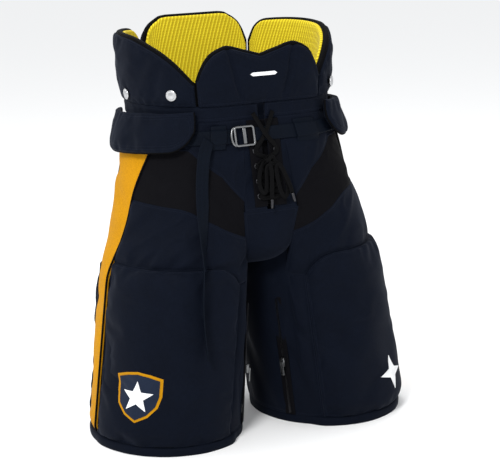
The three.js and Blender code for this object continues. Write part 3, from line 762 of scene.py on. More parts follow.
def navy():
    return woven("navy nylon", bpy.context.scene.pants_colours.navy)


def navy_sewn():
    return woven("navy nylon, sewn rows", bpy.context.scene.pants_colours.navy, stitches=(4.0,))


def navy_quilted():
    return woven("navy nylon, double sewn", bpy.context.scene.pants_colours.navy,
                 stitches=(5.0, 9.0))


def stretch():
    return ribbed("black stretch weave", bpy.context.scene.pants_colours.stretch, 1.6, True, 0.25,
                  roughness=0.75)


def gold():
    return woven("gold nylon", bpy.context.scene.pants_colours.gold, roughness=0.75, sheen=0.02,
                 tint=(1.0, 0.9, 0.6), stitches=(3.0,), stitch_colour=(0.5, 0.2, 0.01), mottle=0.12)


def lining():
    colours = bpy.context.scene.pants_colours
    # The darker colour between the cords is painted shade in the grooves.
    return ribbed("yellow corded lining", colours.lining, 6.2, False, 0.6, roughness=0.85,
                  sheen=0.1, second=colours.lining_painted_groove_shade)


def binding():
    return ribbed("black binding tape", bpy.context.scene.pants_colours.binding, 1.1, True, 0.2,
                  roughness=0.6)


def webbing():
    return ribbed("belt webbing", bpy.context.scene.pants_colours.webbing, 1.8, True, 0.35,
                  roughness=0.55, gloss=0.04)


def lace():
    return ribbed("flat black lace", bpy.context.scene.pants_colours.lace, 1.2, True, 0.3,
                  roughness=0.6, gloss=0.05)


def metal():
    return plated("nickel plate", bpy.context.scene.pants_colours.metal, 0.3)


def grey_metal():
    return plated("grey plated steel", (0.2, 0.205, 0.21), 0.32)


def zip_metal():
    return plated("blackened zip metal", (0.05, 0.05, 0.055), 0.42)


def plate_plastic():
    return moulded("moulded guard plastic", (0.62, 0.63, 0.64), 0.45, 500.0)


def foam():
    return moulded("cut pad foam", (0.72, 0.70, 0.63), 0.9, 900.0)


# ---- Sizes and colours that a user would change -----------------------------------------------
def colour_property(name, description, default):
    return bpy.props.FloatVectorProperty(name=name, description=description, subtype="COLOR",
                                         size=3, min=0.0, max=1.0, default=default)


class PantsColours(bpy.types.PropertyGroup):
    navy: colour_property("Navy Cloth", "Colour of the shell and the pads", (0.0022, 0.0035, 0.0077))
    stretch: colour_property("Stretch Cloth", "Colour of the stretch panels", (0.0035, 0.0034, 0.0045))
    gold: colour_property("Side Stripe", "Colour of the side stripes", (0.44, 0.20, 0.003))
    lining: colour_property("Lining", "Colour of the pads' corded lining", (0.80, 0.68, 0.035))
    # Painted shade: the colour laid in the grooves between the lining's cords.
    lining_painted_groove_shade: colour_property("Lining Groove Shade", "Colour between the cords", (0.46, 0.34, 0.012))
    binding: colour_property("Binding", "Colour of the tape round the pads", (0.0018, 0.0018, 0.0022))
    webbing: colour_property("Webbing", "Colour of the belt", (0.0026, 0.0044, 0.0088))
    lace: colour_property("Lace", "Colour of the fly's lace", (0.0018, 0.0018, 0.0022))
    metal: colour_property("Metal", "Colour of the buckle and buttons", (0.52, 0.525, 0.535))
    thread: colour_property("Badge Thread", "Colour of the embroidery's face", (0.82, 0.83, 0.84))


class PantsSizes(bpy.types.PropertyGroup):
    wrinkle: bpy.props.FloatProperty(
        name="Wrinkle Depth", description="How deep the soft folds are, as a share of the usual",
        default=1.0, min=0.0, max=2.0, subtype="FACTOR")
    fill: bpy.props.FloatProperty(
        name="Pad Fill", description="How tight the pads are, from slack to full",
        default=0.65, min=0.0, max=1.0, subtype="FACTOR")
    binding_radius: bpy.props.FloatProperty(
        name="Binding Radius", description="Radius of the tape round the pads",
        default=0.0036, min=0.001, max=0.006, unit="LENGTH")
    piping_radius: bpy.props.FloatProperty(
        name="Piping Radius", description="Radius of the cord in the seams",
        default=0.0016, min=0.0005, max=0.003, unit="LENGTH")
    rib_pitch: bpy.props.FloatProperty(
        name="Rib Pitch", description="Distance from one cord of the lining to the next",
        default=0.0062, min=0.003, max=0.012, unit="LENGTH")


def wrinkle():
    return bpy.context.scene.pants_sizes.wrinkle


def fill():
    return bpy.context.scene.pants_sizes.fill


# ---- Stage and camera ------------------------------------------------------------------------
CAMERA_TURN = -25.0
CAMERA_RISE = 12.5
CAMERA_ROLL = 1.8
CAMERA_DISTANCE = 2.5


class PANTS_OT_stage(bpy.types.Operator):
    """Make the camera, the pale floor and the soft studio lights"""

    bl_idname = "pants.stage"
    bl_label = "Stage"

    def execute(self, context):
        scene = context.scene
        turn, rise = math.radians(CAMERA_TURN), math.radians(CAMERA_RISE)
        aim = Vector((0, -MIDDLE_SETBACK * MM, 0.3))
        back = Vector((math.sin(turn) * math.cos(rise), -math.cos(turn) * math.cos(rise),
                       math.sin(rise)))
        lens = bpy.data.cameras.new("camera")
        lens.lens, lens.sensor_width = 116.0, 36.0
        lens.shift_x, lens.shift_y = 0.019, -0.003
        camera = bpy.data.objects.new("camera", lens)
        scene.collection.objects.link(camera)
        look = (-back).to_track_quat("-Z", "Y").to_matrix()
        look = look @ Matrix.Rotation(math.radians(-CAMERA_ROLL), 3, "Z")
        camera.matrix_world = Matrix.Translation(aim + back * CAMERA_DISTANCE) @ look.to_4x4()
        lens.clip_start, lens.clip_end = 0.05, 60
        scene.camera = camera

        floor = bpy.data.meshes.new("floor")
        mesh = bmesh.new()
        bmesh.ops.create_circle(mesh, cap_ends=True, segments=96, radius=40.0)
        mesh.to_mesh(floor)
        mesh.free()
        floor_object = bpy.data.objects.new("floor", floor)
        scene.collection.objects.link(floor_object)
        paper = Recipe("studio paper")
        place = paper.node("TexCoord", None, None, 3)
        grain = paper.noise(place, 30.0, 2.0)
        tone = paper.mix(grain * 0.1, (0.93, 0.93, 0.93, 1), (0.91, 0.91, 0.913, 1))
        floor.materials.append(paper.finish(Base_Color=tone, Roughness=0.9, Specular_IOR_Level=0.0))

        world = bpy.data.worlds.new("studio")
        world.use_nodes = True
        world.node_tree.nodes["Background"].inputs[0].default_value = (0.93, 0.94, 0.95, 1)
        world.node_tree.nodes["Background"].inputs[1].default_value = 1.0
        scene.world = world
        scene.view_settings.view_transform = "Standard"
        lights = (
            ("key", (-1.7, -1.7, 2.1), 0.7, 62.0),
            ("fill", (2.3, -1.6, 1.3), 1.4, 8.0),
            ("top", (0.2, 0.6, 2.6), 1.2, 22.0),
            ("rim", (-2.2, 1.6, 1.3), 1.0, 12.0),
        )
        for title, where, size, power in lights:
            light = bpy.data.lights.new(title, "AREA")
            light.shape, light.size, light.energy = "DISK", size, power
            lamp = bpy.data.objects.new(title, light)
            lamp.location = where
            lamp.rotation_mode = "QUATERNION"
            lamp.rotation_quaternion = (Vector((0, 0, 0.35)) - Vector(where)).to_track_quat("-Z", "Y")
            scene.collection.objects.link(lamp)
        return {"FINISHED"}


# ---- Cords -----------------------------------------------------------------------------------
TAIL_DROPS = (0, 3, 10, 22, 37, 53, 71, 91, 111, 131, 153, 175, 199, 223, 247, 271, 293, 313)
TAIL_ANGLES = ((0, -75.4), (6, -74), (22, -72.5), (70, -73), (111, -76), (175, -80), (247, -82),
               (313, -86))
PAD_RISE = 10.0
BOW_POINTS = {
    "right": (
        (-4, -9, -38), (-11, -9.5, -43), (-17, -10, -54), (-20, -10, -68), (-18, -10.5, -80),
        (-12.5, -11, -84), (-9, -11.5, -74), (-7.5, -12, -60), (-6.5, -13, -48), (-3, -15.5, -44),
        (-0.5, -15, -52), (-1, -14, -66), (-2, -13, -80), (-3, -12, -94),
    ),
    "left": (
        (5, -9, -38), (13, -9.5, -43), (21, -10, -55), (25.5, -10, -71), (25, -10.5, -86),
        (19, -11, -93), (13, -11.5, -84), (10, -12, -68), (8.5, -13, -52), (11, -15.5, -44),
        (17, -15.5, -50), (22, -15, -62), (27, -14.5, -75), (30.5, -13.5, -88),
    ),
}
WEB_WIDTH = 20.0
LACE_WIDTH = 7.0
LACE_THICKNESS = 1.6


def tail_lift(z):
    """How far the tail stands off the cloth: it clears the thigh pad while on edge."""
    on_edge = PAD_RISE + WEB_WIDTH / 2
    return smooth_along(
        ((BELT - 314, on_edge + 7.5), (COVER_TOP - 12, on_edge + 2), (COVER_TOP + 34, on_edge - 5.5),
         (COVER_TOP + 76, on_edge - 12.5), (BELT - 54, WEB_WIDTH / 2),
         (BELT - 11, WEB_WIDTH / 2 + 3.5), (BELT - 1, WEB_WIDTH / 2 - 0.5)), z)


def tail_points():
    drop = np.array(TAIL_DROPS, float)
    z, angle = BELT - 1 - drop, smooth_along(TAIL_ANGLES, drop)
    ahead = cloth(-1, angle - 1, z) - cloth(-1, angle + 1, z)
    ahead /= np.linalg.norm(ahead, axis=1, keepdims=True)
    out = np.stack((ahead[:, 1], -ahead[:, 0], np.zeros_like(drop)), -1)
    return cloth(-1, angle, z) + out * tail_lift(z)[:, None]


def length_of(path):
    return float(arc_lengths(path, 0)[-1]) * MM


def aglet(name, end, before):
    """A crimped metal tip on the end of the lace."""
    direction = (end - before) / np.linalg.norm(end - before)
    at = np.array((0.0, 0.6, 1.6, 11.5, 13.0, 14.0))
    radius = np.array((1.9, 2.3, 2.4, 2.1, 1.7, 0.9))
    path = end + direction * (at + 0.3)[:, None]
    face = np.tile((0.0, -1.0, 0.0), (len(at), 1))
    return tube(name, path, face, radius, radius, zip_metal(), sides=16)


class PANTS_OT_cords(bpy.types.Operator):
    """Make the belt's hanging end and the two ends of the lace"""

    bl_idname = "pants.cords"
    bl_label = "Belt Tail and Lace Ends"

    def execute(self, context):
        tail = smooth_path(tail_points(), 90)
        share = np.linspace(0, 1, len(tail))
        turn = np.radians(np.clip((share - 0.3) / 0.3, 0, 1) * 70)
        face = np.stack((np.sin(turn), -np.cos(turn), np.zeros_like(turn)), -1)
        strap = tube("belt_tail_webbing", tail, face, WEB_WIDTH / 2, 1.0, webbing(), sides=16,
                     squareness=0.35)
        bend_with(strap, "waist", "right_leg", (0, 0, 440), (0, 0, 270), "webbing", "belt_tail")
        length_of(tail)
        for side, word in SIDES:
            points = [(x, front_y(BELT + rise) + lift, BELT + rise)
                      for x, lift, rise in BOW_POINTS[word]]
            path = smooth_path(points, 80)
            face = np.tile((0.0, -1.0, 0.0), (len(path), 1))
            end = tube(f"{word}_lace_end_cord", path, face, LACE_WIDTH / 2, LACE_THICKNESS / 2,
                       lace(), sides=12, squareness=0.6)
            tip = aglet(f"{word}_aglet_tip", path[-1], path[-3])
            hang(end, "waist", "lace_cord", f"{word}_lace_end")
            hang(tip, "waist", "steel", f"{word}_aglet")
            length_of(path)
        return {"FINISHED"}


# ---- Trunk -----------------------------------------------------------------------------------
def yoke_surface(side):
    def surface(u, v):
        share = u if side > 0 else 1 - u

        def angle_at(z):
            start = front_angle(6.0, z)
            stops = np.stack([start, np.full_like(z, GUSSET - 1.5), np.full_like(z, GUSSET + 1),
                              np.full_like(z, -60.0), np.full_like(z, STRIPE_REAR + 0.7)], -1)
            at = np.array((0.0, 0.16, 0.20, 0.56, 1.0))
            k = np.clip(np.searchsorted(at, share), 1, 4)
            t = (share - at[k - 1]) / (at[k] - at[k - 1])
            low = np.take_along_axis(stops, (k - 1)[..., None], -1)[..., 0]
            high = np.take_along_axis(stops, k[..., None], -1)[..., 0]
            return low * (1 - t) + high * t

        def bottom(angle):
            return np.where(angle < GUSSET - 1, FORK, yoke_edge(angle))

        z = bottom(angle_at(np.full_like(u, FORK))) * (1 - v) + YOKE_TOP * v
        angle = angle_at(z)
        return cloth(side, angle, bottom(angle) * (1 - v) + YOKE_TOP * v)

    return surface


def yoke_relief(side, seed):
    """Gathers under the band and slanting folds, pressed flat by the belt and the fly."""

    def relief(u, v, edge):
        from_top = v.max(0, keepdims=True) - v
        from_fly = u if side > 0 else u.max(1, keepdims=True) - u
        pleats = folds(u, v, 0, 12, 60, seed) * near(from_top, 52) * 2.4
        drape = folds(u, v, 28, 34, 90, seed + 1) * 3.0
        lines = creases(u, v, 34, 30, 80, seed + 2) * 2.0
        roof = 0.3 + 5.0 * np.clip((from_top - 40) / 16, 0, 1) * np.clip((from_fly - 28) / 14, 0, 1)
        fullness = np.minimum(wrinkle() * (pleats + drape + lines), roof)
        return fullness * np.clip(edge / 10, 0, 1)

    return relief


def seat_surface(side):
    """Half of the seat, from the stripe to the back's middle."""
    start, low, high = STRIPE_REAR - 5, -GUSSET - 2, -GUSSET

    def surface(u, v):
        share = u if side > 0 else 1 - u
        angle = np.interp(share, (0, 0.62, 0.65, 1), (start, low, high, 180))
        bottom = along(((low, SEAT_BOTTOM), (high, FORK + 0.5)), angle)
        return cloth(side, angle, bottom * (1 - v) + YOKE_TOP * v)

    return surface


def seat_relief(seed):
    def relief(u, v, edge):
        from_top = v.max(0, keepdims=True) - v
        pleats = folds(u, v, 0, 13, 70, seed) * near(from_top, 46) * 2.0
        drape = folds(u, v, -35, 40, 110, seed + 1) * 3.0
        lines = creases(u, v, -30, 34, 90, seed + 2) * 2.0
        roof = 0.3 + 5.0 * np.clip((from_top - 40) / 16, 0, 1)
        return np.minimum(wrinkle() * (pleats + drape + lines), roof) * np.clip(edge / 10, 0, 1)

    return relief


def crotch_surface(u, v):
    """The gusset: from the fly seam down between the legs and up to the seat seam."""
    front, back = front_y(FORK), float(cloth(1, 180, FORK)[1])
    across, end = (u - 0.5) * 2, np.where(v > 0.5, -1, 1)
    run = np.abs(v - 0.5) * 2
    swing = np.minimum(run / 0.7, 1) * (np.pi / 2)
    z = np.where(run < 0.7, 300 + (252 - 300) * np.cos(swing), 300 + (FORK + TUCK - 300) * (run - 0.7) / 0.3)
    seam = cloth(1, end * (-GUSSET - TUCK), np.maximum(z, CROTCH))
    centre = np.where(end > 0, back, front) + (FORK - z) * 0.08 * end
    spread = np.sin(swing)
    half_width = 24 + (seam[..., 0] - 24) * spread
    y = (front + back) / 2 * (1 - spread) + (centre + (seam[..., 1] - centre) * across**2) * spread
    return np.stack((across * half_width, y, z - (1 - spread) * 4 * across**2), -1)


class PANTS_OT_trunk(bpy.types.Operator):
    """Make the front yokes, the seat, the crotch panel, the fly's tongue and the waistband"""

    bl_idname = "pants.trunk"
    bl_label = "Trunk"

    def execute(self, context):
        for side, word in SIDES:
            yoke = shell(f"{word}_yoke_cloth", yoke_surface(side), 0.4, -3.6, navy_sewn(), step=5,
                         crown=2, relief=yoke_relief(side, 20 + side),
                         under=yoke_relief(side, 20 + side))
            hang(subdivide(yoke), "waist", "navy_cloth", f"{word}_front_yoke")
            seat = shell(f"{word}_seat_cloth", seat_surface(side), 0.4, -3.6, navy_sewn(), step=6,
                         crown=2, relief=seat_relief(30 + side), under=seat_relief(30 + side))
            bend_with(subdivide(seat), "waist", f"{word}_leg", (side * 20, 0, 410),
                      (side * 130, 0, 262), "navy_cloth", "seat_panel")
        crotch = shell("crotch_cloth", crotch_surface, 0, -4, navy_sewn(), step=6, crown=2)
        hang(subdivide(crotch), "waist", "navy_cloth", "crotch_panel")

        def tongue_surface(u, v):
            z = 358 * (1 - v) + 482 * v
            return round_waist(np.mod((u - 0.5) * 5400 / read_level(STRAIGHT, z), 720), z)

        tongue = shell("fly_tongue_cloth", tongue_surface, -5.2, -8, stretch(), step=6, crown=2,
                       relief=lambda u, v, edge: -np.abs(folds(u, v, 0, 14, 50, 5)) * 1.5 * wrinkle())
        hang(subdivide(tongue), "waist", "stretch_cloth", "fly_tongue")

        def gathers(u, v, edge):
            return wrinkle() * (folds(u, v, 4, 9, 40, 44) * 0.9 + folds(u, v, 0, 30, 60, 45) * 0.7) * np.clip(edge / 4, 0, 1)

        band = shell("waistband_cloth", waist_surface(9, 711, WAIST - 0.5, BAND_TOP + 0.5), 2.6, -4,
                     navy_sewn(), step=4, rows_step=3, crown=5, thin=0.45, relief=gathers)
        hang(subdivide(band), "waist", "navy_cloth", "waistband")
        back = shell("tailbone_foam", waist_surface(268, 452, 370, 474), -10, -24, foam(), step=9,
                     crown=7, thin=0.35)
        hang(subdivide(back), "waist", "pad_foam", "tailbone_pad")
        return {"FINISHED"}


# ---- Belt, buckle, fly -----------------------------------------------------------------------
BELT_LIFT = 1.0
WEB_THICKNESS = 2.0
BUCKLE_X = -33.0


def right_place(from_middle):
    return 720 - 90 * from_middle / float(read_level(STRAIGHT, BELT))


def front_lean():
    return math.atan2(front_y(BELT + 10) - front_y(BELT - 10), 20.0)


def stand_up(obj, x, z, lift):
    """Turns a flat part drawn in X and Y to stand on the front, leaned to the cloth."""
    turn = Matrix.Rotation(math.pi / 2 - front_lean(), 4, "X")
    shift = Matrix.Translation(Vector((x, front_y(BELT) - lift, z)) * MM)
    obj.data.transform(shift @ turn)
    return obj


def wire(name, outline, radius, finish, closed=True, sides=12):
    """A bent wire in the X-Y plane."""
    path = np.array([(x, y, 0.0) for x, y in outline], float)
    face = np.tile((0.0, 0.0, 1.0), (len(path), 1))
    return tube(name, path, face, radius, radius, finish, sides=sides, closed=closed)


def rounded_outline(half_width, half_height, radius, steps=6):
    outline = []
    for cx, cy, start in ((1, -1, -90), (1, 1, 0), (-1, 1, 90), (-1, -1, 180)):
        for k in range(steps + 1):
            turn = math.radians(start + 90 * k / steps)
            outline.append((cx * (half_width - radius) + radius * math.cos(turn),
                            cy * (half_height - radius) + radius * math.sin(turn)))
    return outline


class PANTS_OT_belt(bpy.types.Operator):
    """Make the belt, its three loops and the buckle"""

    bl_idname = "pants.belt"
    bl_label = "Belt and Buckle"

    def execute(self, context):
        start = -90 * 14.0 / float(read_level(STRAIGHT, BELT))
        half = WEB_WIDTH / 2

        def belt_surface(u, v):
            place = start + (right_place(52.0) - start) * u
            return round_waist(np.where(place < 0, place + 720, place), BELT - half + WEB_WIDTH * v)

        belt = shell("belt_band", belt_surface, BELT_LIFT + WEB_THICKNESS, BELT_LIFT, webbing(),
                     step=6, rows_step=4, crown=1.2, thin=0.5)
        swap_cut(belt)
        hang(belt, "waist", "webbing", "belt")
        for name, low, high in (("right", 617, 632), ("left", 75, 106), ("rear", 340, 380)):

            def raised(u, v, edge):
                height = v - v.max() / 2
                return np.interp(np.abs(height), (9.5, 12.3), (3.4, 0.0))

            loop = shell(f"{name}_belt_loop_web", waist_surface(low, high, BELT - 17, BELT + 17),
                         2.1, 0.5, webbing(), step=3, rows_step=1.6, crown=1, thin=0.6,
                         relief=raised, under=raised)
            hang(loop, "waist", "webbing", f"{name}_belt_loop")
        self.buckle()
        return {"FINISHED"}

    def buckle(self):
        finish = grey_metal()
        window = wire("buckle_frame_wire", rounded_outline(15.2, 13.8, 3.5), 1.75, finish)
        bow_points = [(-15.2 - 6.0 * math.cos(math.radians(a)), 13.4 * math.sin(math.radians(a)))
                      for a in range(-88, 89, 8)]
        bow = wire("buckle_bow", bow_points, 1.5, finish, closed=False)
        frame_wire = join("buckle_frame_wire", [window, bow])
        stand_up(frame_wire, BUCKLE_X, BELT, 5.6)
        hang(frame_wire, "waist", "steel", "buckle_frame")
        mesh = bmesh.new()
        bmesh.ops.create_cube(mesh, size=1.0)
        bmesh.ops.scale(mesh, vec=(5.0, 23.0, 2.0), verts=mesh.verts)
        bmesh.ops.bevel(mesh, geom=mesh.edges[:], offset=0.7, offset_type="OFFSET", segments=3,
                        profile=0.5, affect="EDGES", material=-1)
        bmesh.ops.translate(mesh, vec=(0, 0, 1.0), verts=mesh.verts)
        bar = object_from("buckle_slide_bar", mesh, finish)
        stand_up(bar, BUCKLE_X, BELT, 4.5)
        hang(bar, "buckle", "steel", "buckle_bar")


def swap_cut(obj):
    """Turns a piece's UV map a quarter, so that ribs run across it."""
    layer = obj.data.uv_layers["cut"]
    flat = np.zeros(len(layer.data) * 2, np.float32)
    layer.data.foreach_get("uv", flat)
    layer.data.foreach_set("uv", flat.reshape(-1, 2)[:, ::-1].ravel())
    return obj


def eyelet_rows():
    return [372.0 + 22.0 * k for k in range(4)]


def ring(name, radius, thick, finish):
    """A rolled metal ring in the X-Y plane: a small circle spun round."""
    mesh = bmesh.new()
    made = bmesh.ops.create_circle(mesh, segments=10, radius=thick)
    bmesh.ops.rotate(mesh, verts=made["verts"], cent=(0, 0, 0),
                     matrix=Matrix.Rotation(math.pi / 2, 3, "X"))
    bmesh.ops.translate(mesh, verts=made["verts"], vec=(radius, 0, 0))
    bmesh.ops.spin(mesh, geom=mesh.edges[:] + mesh.verts[:], cent=(0, 0, 0), axis=(0, 0, 1),
                   angle=2 * math.pi, steps=20, use_merge=True)
    bmesh.ops.recalc_face_normals(mesh, faces=mesh.faces)
    return object_from(name, mesh, finish)


class PANTS_OT_fly(bpy.types.Operator):
    """Make the fly's facings, its eyelets and the crossed lace"""

    bl_idname = "pants.fly"
    bl_label = "Fly and Lace"

    def execute(self, context):
        for side, word in SIDES:

            def facing_surface(u, v, side=side):
                share = u if side > 0 else 1 - u
                z = (FORK + 6) * (1 - v) + 483 * v
                return cloth(side, front_angle(5 + 21 * share, z), z)

            facing = shell(f"{word}_fly_facing", facing_surface, 1.7, 0.2, stretch(), step=3,
                           rows_step=5, crown=1.2, thin=0.6)
            hang(subdivide(facing), "waist", "stretch_cloth")
            eyelets = []
            for number, z in enumerate(eyelet_rows()):
                eyelet = ring(f"{word}_eyelet_{number}", 3.6, 0.9, zip_metal())
                lean = math.atan2(front_y(z + 4) - front_y(z - 4), 8.0)
                place = Matrix.Translation(Vector((side * 17.0, front_y(z) - 1.9, z)) * MM)
                eyelet.data.transform(place @ Matrix.Rotation(math.pi / 2 - lean, 4, "X"))
                eyelets.append(eyelet)
            hang(join(f"{word}_fly_eyelets", eyelets), "waist", "steel")

        def point(x, z, lift):
            return (x * 17.0, front_y(z) - lift, z)

        rows, under, over, top = eyelet_rows(), 3.2, 5.2, 494.0
        half = 11.0
        route = [
            point(1, top, 4.2), point(0, BELT, 6.2), point(-1, rows[3], under),
            point(0, rows[2] + half, under), point(1, rows[2], under),
            point(0, rows[1] + half, under), point(-1, rows[1], under),
            point(0, rows[0] + half, under), point(1, rows[0], under),
            point(0, rows[0] - 3, under + 1), point(-1, rows[0], over),
            point(0, rows[0] + half, over), point(1, rows[1], over),
            point(0, rows[1] + half, over), point(-1, rows[2], over),
            point(0, rows[2] + half, over), point(1, rows[3], over), point(0, BELT, 8.8),
            point(-1, top, 6.8),
        ]
        path = smooth_path(route, 170)
        face = np.tile((0.0, -1.0, 0.0), (len(path), 1))
        crossed = tube("fly_lace_cord", path, face, LACE_WIDTH / 2, LACE_THICKNESS / 2, lace(),
                       sides=12, squareness=0.6)
        knot_points = [(-5, front_y(426) - 9, 427), (0, front_y(424) - 14, 421),
                       (6, front_y(424) - 12.5, 418), (9, front_y(426) - 9.5, 424),
                       (3, front_y(430) - 12, 430), (-3, front_y(424) - 14, 425),
                       (-6, front_y(418) - 9.5, 418)]
        knot_path = smooth_path(knot_points, 40)
        knot = tube("lace_knot", knot_path, np.tile((0.0, -1.0, 0.0), (40, 1)), 3.2, 1.2, lace(),
                    sides=12, squareness=0.7)
        hang(join("fly_lace_cord", [crossed, knot]), "waist", "lace_cord", "fly_lace")
        return {"FINISHED"}


# ---- Standing pads ---------------------------------------------------------------------------
LINING_DROP = 7.0


def belly_top(place):
    reach = np.minimum(place, 720 - place)
    return PAD_BOTTOM + smooth_along(
        ((0, 67), (40, 75), (82, 82), (98, 74), (106, 58), (111, 36)), reach)


def side_top(angle):
    return PAD_BOTTOM + smooth_along(
        ((-64, 30), (-47, 62), (-30, 82), (-6, 96), (52, 96), (62, 86), (68, 62)), angle)


def back_top(place):
    reach = np.minimum(place, 720 - place)
    return PAD_BOTTOM - 1.5 + smooth_along(((252, 62), (259, 92), (272, 108), (292, 112)), reach)


def belly_surface(u, v, drop=1.5):
    place = np.mod(607.5 + 225 * u, 720)
    return round_waist(place, (PAD_BOTTOM - drop) * (1 - v) + belly_top(place) * v)


def belly_lining_surface(u, v):
    """The lining's lower edge goes down behind the waistband, but not behind the fly's slit."""
    from_slit = np.abs(225 * u - 112.5)
    return belly_surface(u, v, np.interp(from_slit, (14, 18), (0.5, LINING_DROP)))


def rim_line(steps=60):
    """The left side, the top and the right side of a standing pad, as u and v."""
    rise = np.linspace(0.02, 0.97, 14)
    turn = np.linspace(0, 1, steps)
    u = np.concatenate((np.full(14, 0.004), 0.004 + 0.992 * turn, np.full(14, 0.996)))
    v = np.concatenate((rise, np.full(steps, 0.997), rise[::-1]))
    return u, v


def bind(name, surface, lift, body, nodes=()):
    """The tape folded over a standing pad's free edge."""
    radius = bpy.context.scene.pants_sizes.binding_radius / MM
    u, v = rim_line()
    tape = piping(name, surface, u, v, lift, (radius * 1.1, radius * 1.45), binding())
    return hang(tape, body, "stretch_cloth")


def cords(pitch):
    def relief(u, v, edge):
        ridge = np.abs(np.sin(math.pi * u / pitch)) ** 0.7
        return -(ridge * 1.0 - 0.2) * np.clip(edge / 3, 0, 1)

    return relief


def darts(u, v, edge):
    """The belly pad's two sewn darts, leaning outwards, and soft dents between them."""
    middle = u.max(1, keepdims=True) / 2
    from_middle = np.abs(u - middle)
    dent = -5.4 * near(from_middle - (33 + 0.28 * v), 4.2) * np.clip(v / 12, 0, 1)
    return dent + wrinkle() * (folds(u, v, 10, 26, 40, 61) * 1.6) * np.clip(edge / 9, 0, 1)


def soft_pad(seed, depth=2.8, size=34):
    def relief(u, v, edge):
        pucker = folds(u, v, 0, 8, 26, seed) * near(edge - 7, 7) * 0.8
        dents = cloudy(u / size, v / size, seed + 1) + 0.5 * cloudy(u / size * 2.1, v / size * 2.1, seed + 2)
        return wrinkle() * (pucker + dents * depth * np.clip(edge / 14, 0, 1))

    return relief


class PANTS_OT_standing_pads(bpy.types.Operator):
    """Make the belly, back and side pads with their corded linings and binding"""

    bl_idname = "pants.standing_pads"
    bl_label = "Standing Pads"

    def execute(self, context):
        pitch = context.scene.pants_sizes.rib_pitch / MM
        belly = shell("belly_pad_cloth", belly_surface, 7.6, -3.6, navy_sewn(), step=5, crown=9,
                      thin=0.3, relief=darts)
        swell(belly, 3.0, 0.02, 5)
        hang(subdivide(belly), "belly", "navy_cloth", "belly_pad")
        lined = shell("belly_lining_cloth", belly_lining_surface, -5, -10.4, lining(), step=1.55,
                      rows_step=9, crown=3, under=cords(pitch))
        hang(lined, "belly", "yellow_lining", "belly_lining")
        bind("belly_binding", belly_surface, -1.5, "belly")

        surface = waist_surface(252, 468, PAD_BOTTOM - 1.5, back_top)
        back = shell("back_pad_cloth", surface, 7.6, -3.6, navy_sewn(), step=6, crown=9, thin=0.3,
                     relief=soft_pad(71))
        swell(back, 3.0, 0.02, 5)
        hang(subdivide(back), "back", "navy_cloth", "back_pad")
        behind = waist_surface(252, 468, PAD_BOTTOM - LINING_DROP, back_top)
        lined = shell("back_lining_cloth", behind, -9, -14.6, lining(), step=1.55, rows_step=9,
                      crown=3, under=cords(pitch))
        hang(lined, "back", "yellow_lining", "back_lining")
        bind("back_binding", surface, -4.2, "back")

        for side, word in SIDES:
            surface = half_surface(side, -65.5, 68, PAD_BOTTOM - 1.5, side_top)
            behind = half_surface(side, -65.5, 68, PAD_BOTTOM - LINING_DROP, side_top)
            pad = shell(f"{word}_side_pad_cloth", surface, 5.8, -5.6, navy_sewn(), step=5, crown=9,
                        thin=0.3, relief=soft_pad(80 + side))
            swell(pad, 3.0, 0.02, 4)
            hang(subdivide(pad), f"{word}_side", "navy_cloth", f"{word}_side_pad")
            lined = shell(f"{word}_side_lining_cloth", behind, -7, -12.6, lining(), step=1.55,
                          rows_step=9, crown=3, under=cords(pitch))
            hang(lined, f"{word}_side", "yellow_lining", f"{word}_side_lining")
            bind(f"{word}_side_binding", surface, -3.6, f"{word}_side")
        return {"FINISHED"}


BUTTON_PROFILE = (
    (0.0, -1.5), (3.4, -1.5), (3.4, 2.0), (7.9, 2.0), (8.4, 2.4), (8.5, 3.1), (7.9, 3.9),
    (6.6, 4.4), (6.0, 4.1), (4.6, 4.1), (2.6, 4.6), (0.0, 4.8),
)


def lathe(name, profile, finish, steps=32):
    """A turned part round Z."""
    mesh = bmesh.new()
    previous = None
    for radius, height in profile:
        vertex = mesh.verts.new((radius, 0, height))
        if previous:
            mesh.edges.new((previous, vertex))
        previous = vertex
    bmesh.ops.spin(mesh, geom=mesh.verts[:] + mesh.edges[:], cent=(0, 0, 0), axis=(0, 0, 1),
                   angle=2 * math.pi, steps=steps, use_merge=True)
    bmesh.ops.remove_doubles(mesh, verts=mesh.verts, dist=1e-4)
    bmesh.ops.recalc_face_normals(mesh, faces=mesh.faces)
    return object_from(name, mesh, finish)


def seat_on(obj, side, angle, z, lift):
    """Puts a small part on the cloth, its own Z out and its own Y up."""
    here = cloth(side, angle, z)
    around = (cloth(side, angle + 1, z) - cloth(side, angle - 1, z)) * side
    up = cloth(side, angle, z + 1) - cloth(side, angle, z - 1)
    up /= np.linalg.norm(up)
    out = np.cross(around, up)
    out /= np.linalg.norm(out)
    across = np.cross(up, out)
    basis = Matrix((across, up, out)).transposed().to_4x4()
    obj.data.transform(Matrix.Translation(Vector(here + out * lift) * MM) @ basis)
    return obj


class PANTS_OT_buttons(bpy.types.Operator):
    """Make the six brace buttons"""

    bl_idname = "pants.buttons"
    bl_label = "Brace Buttons"

    def execute(self, context):
        for side, word in SIDES:
            for place, angle, rise, lift, body in (
                ("front", -48, 17, 7.2, f"{word}_side"),
                ("side", -2, 13, 7.2, f"{word}_side"),
                ("rear", 128, 15, 8.4, "back"),
            ):
                button = lathe(f"{word}_{place}_brace_button", BUTTON_PROFILE, metal())
                seat_on(button, side, angle, PAD_BOTTOM + rise, lift)
                hang(button, body, "steel", f"{word}_{place}_button")
        return {"FINISHED"}


# ---- Hip flaps -------------------------------------------------------------------------------
def flap_top(angle):
    return WAIST + along(((-64, 17), (10, 6), (40, 4)), angle)


def flap_bottom(angle):
    return flap_top(angle) - 60 + smooth_along(
        ((-64, 26), (-60, 12), (-52, 2), (-44, 0), (24, 0), (32, 3), (40, 14)), angle)


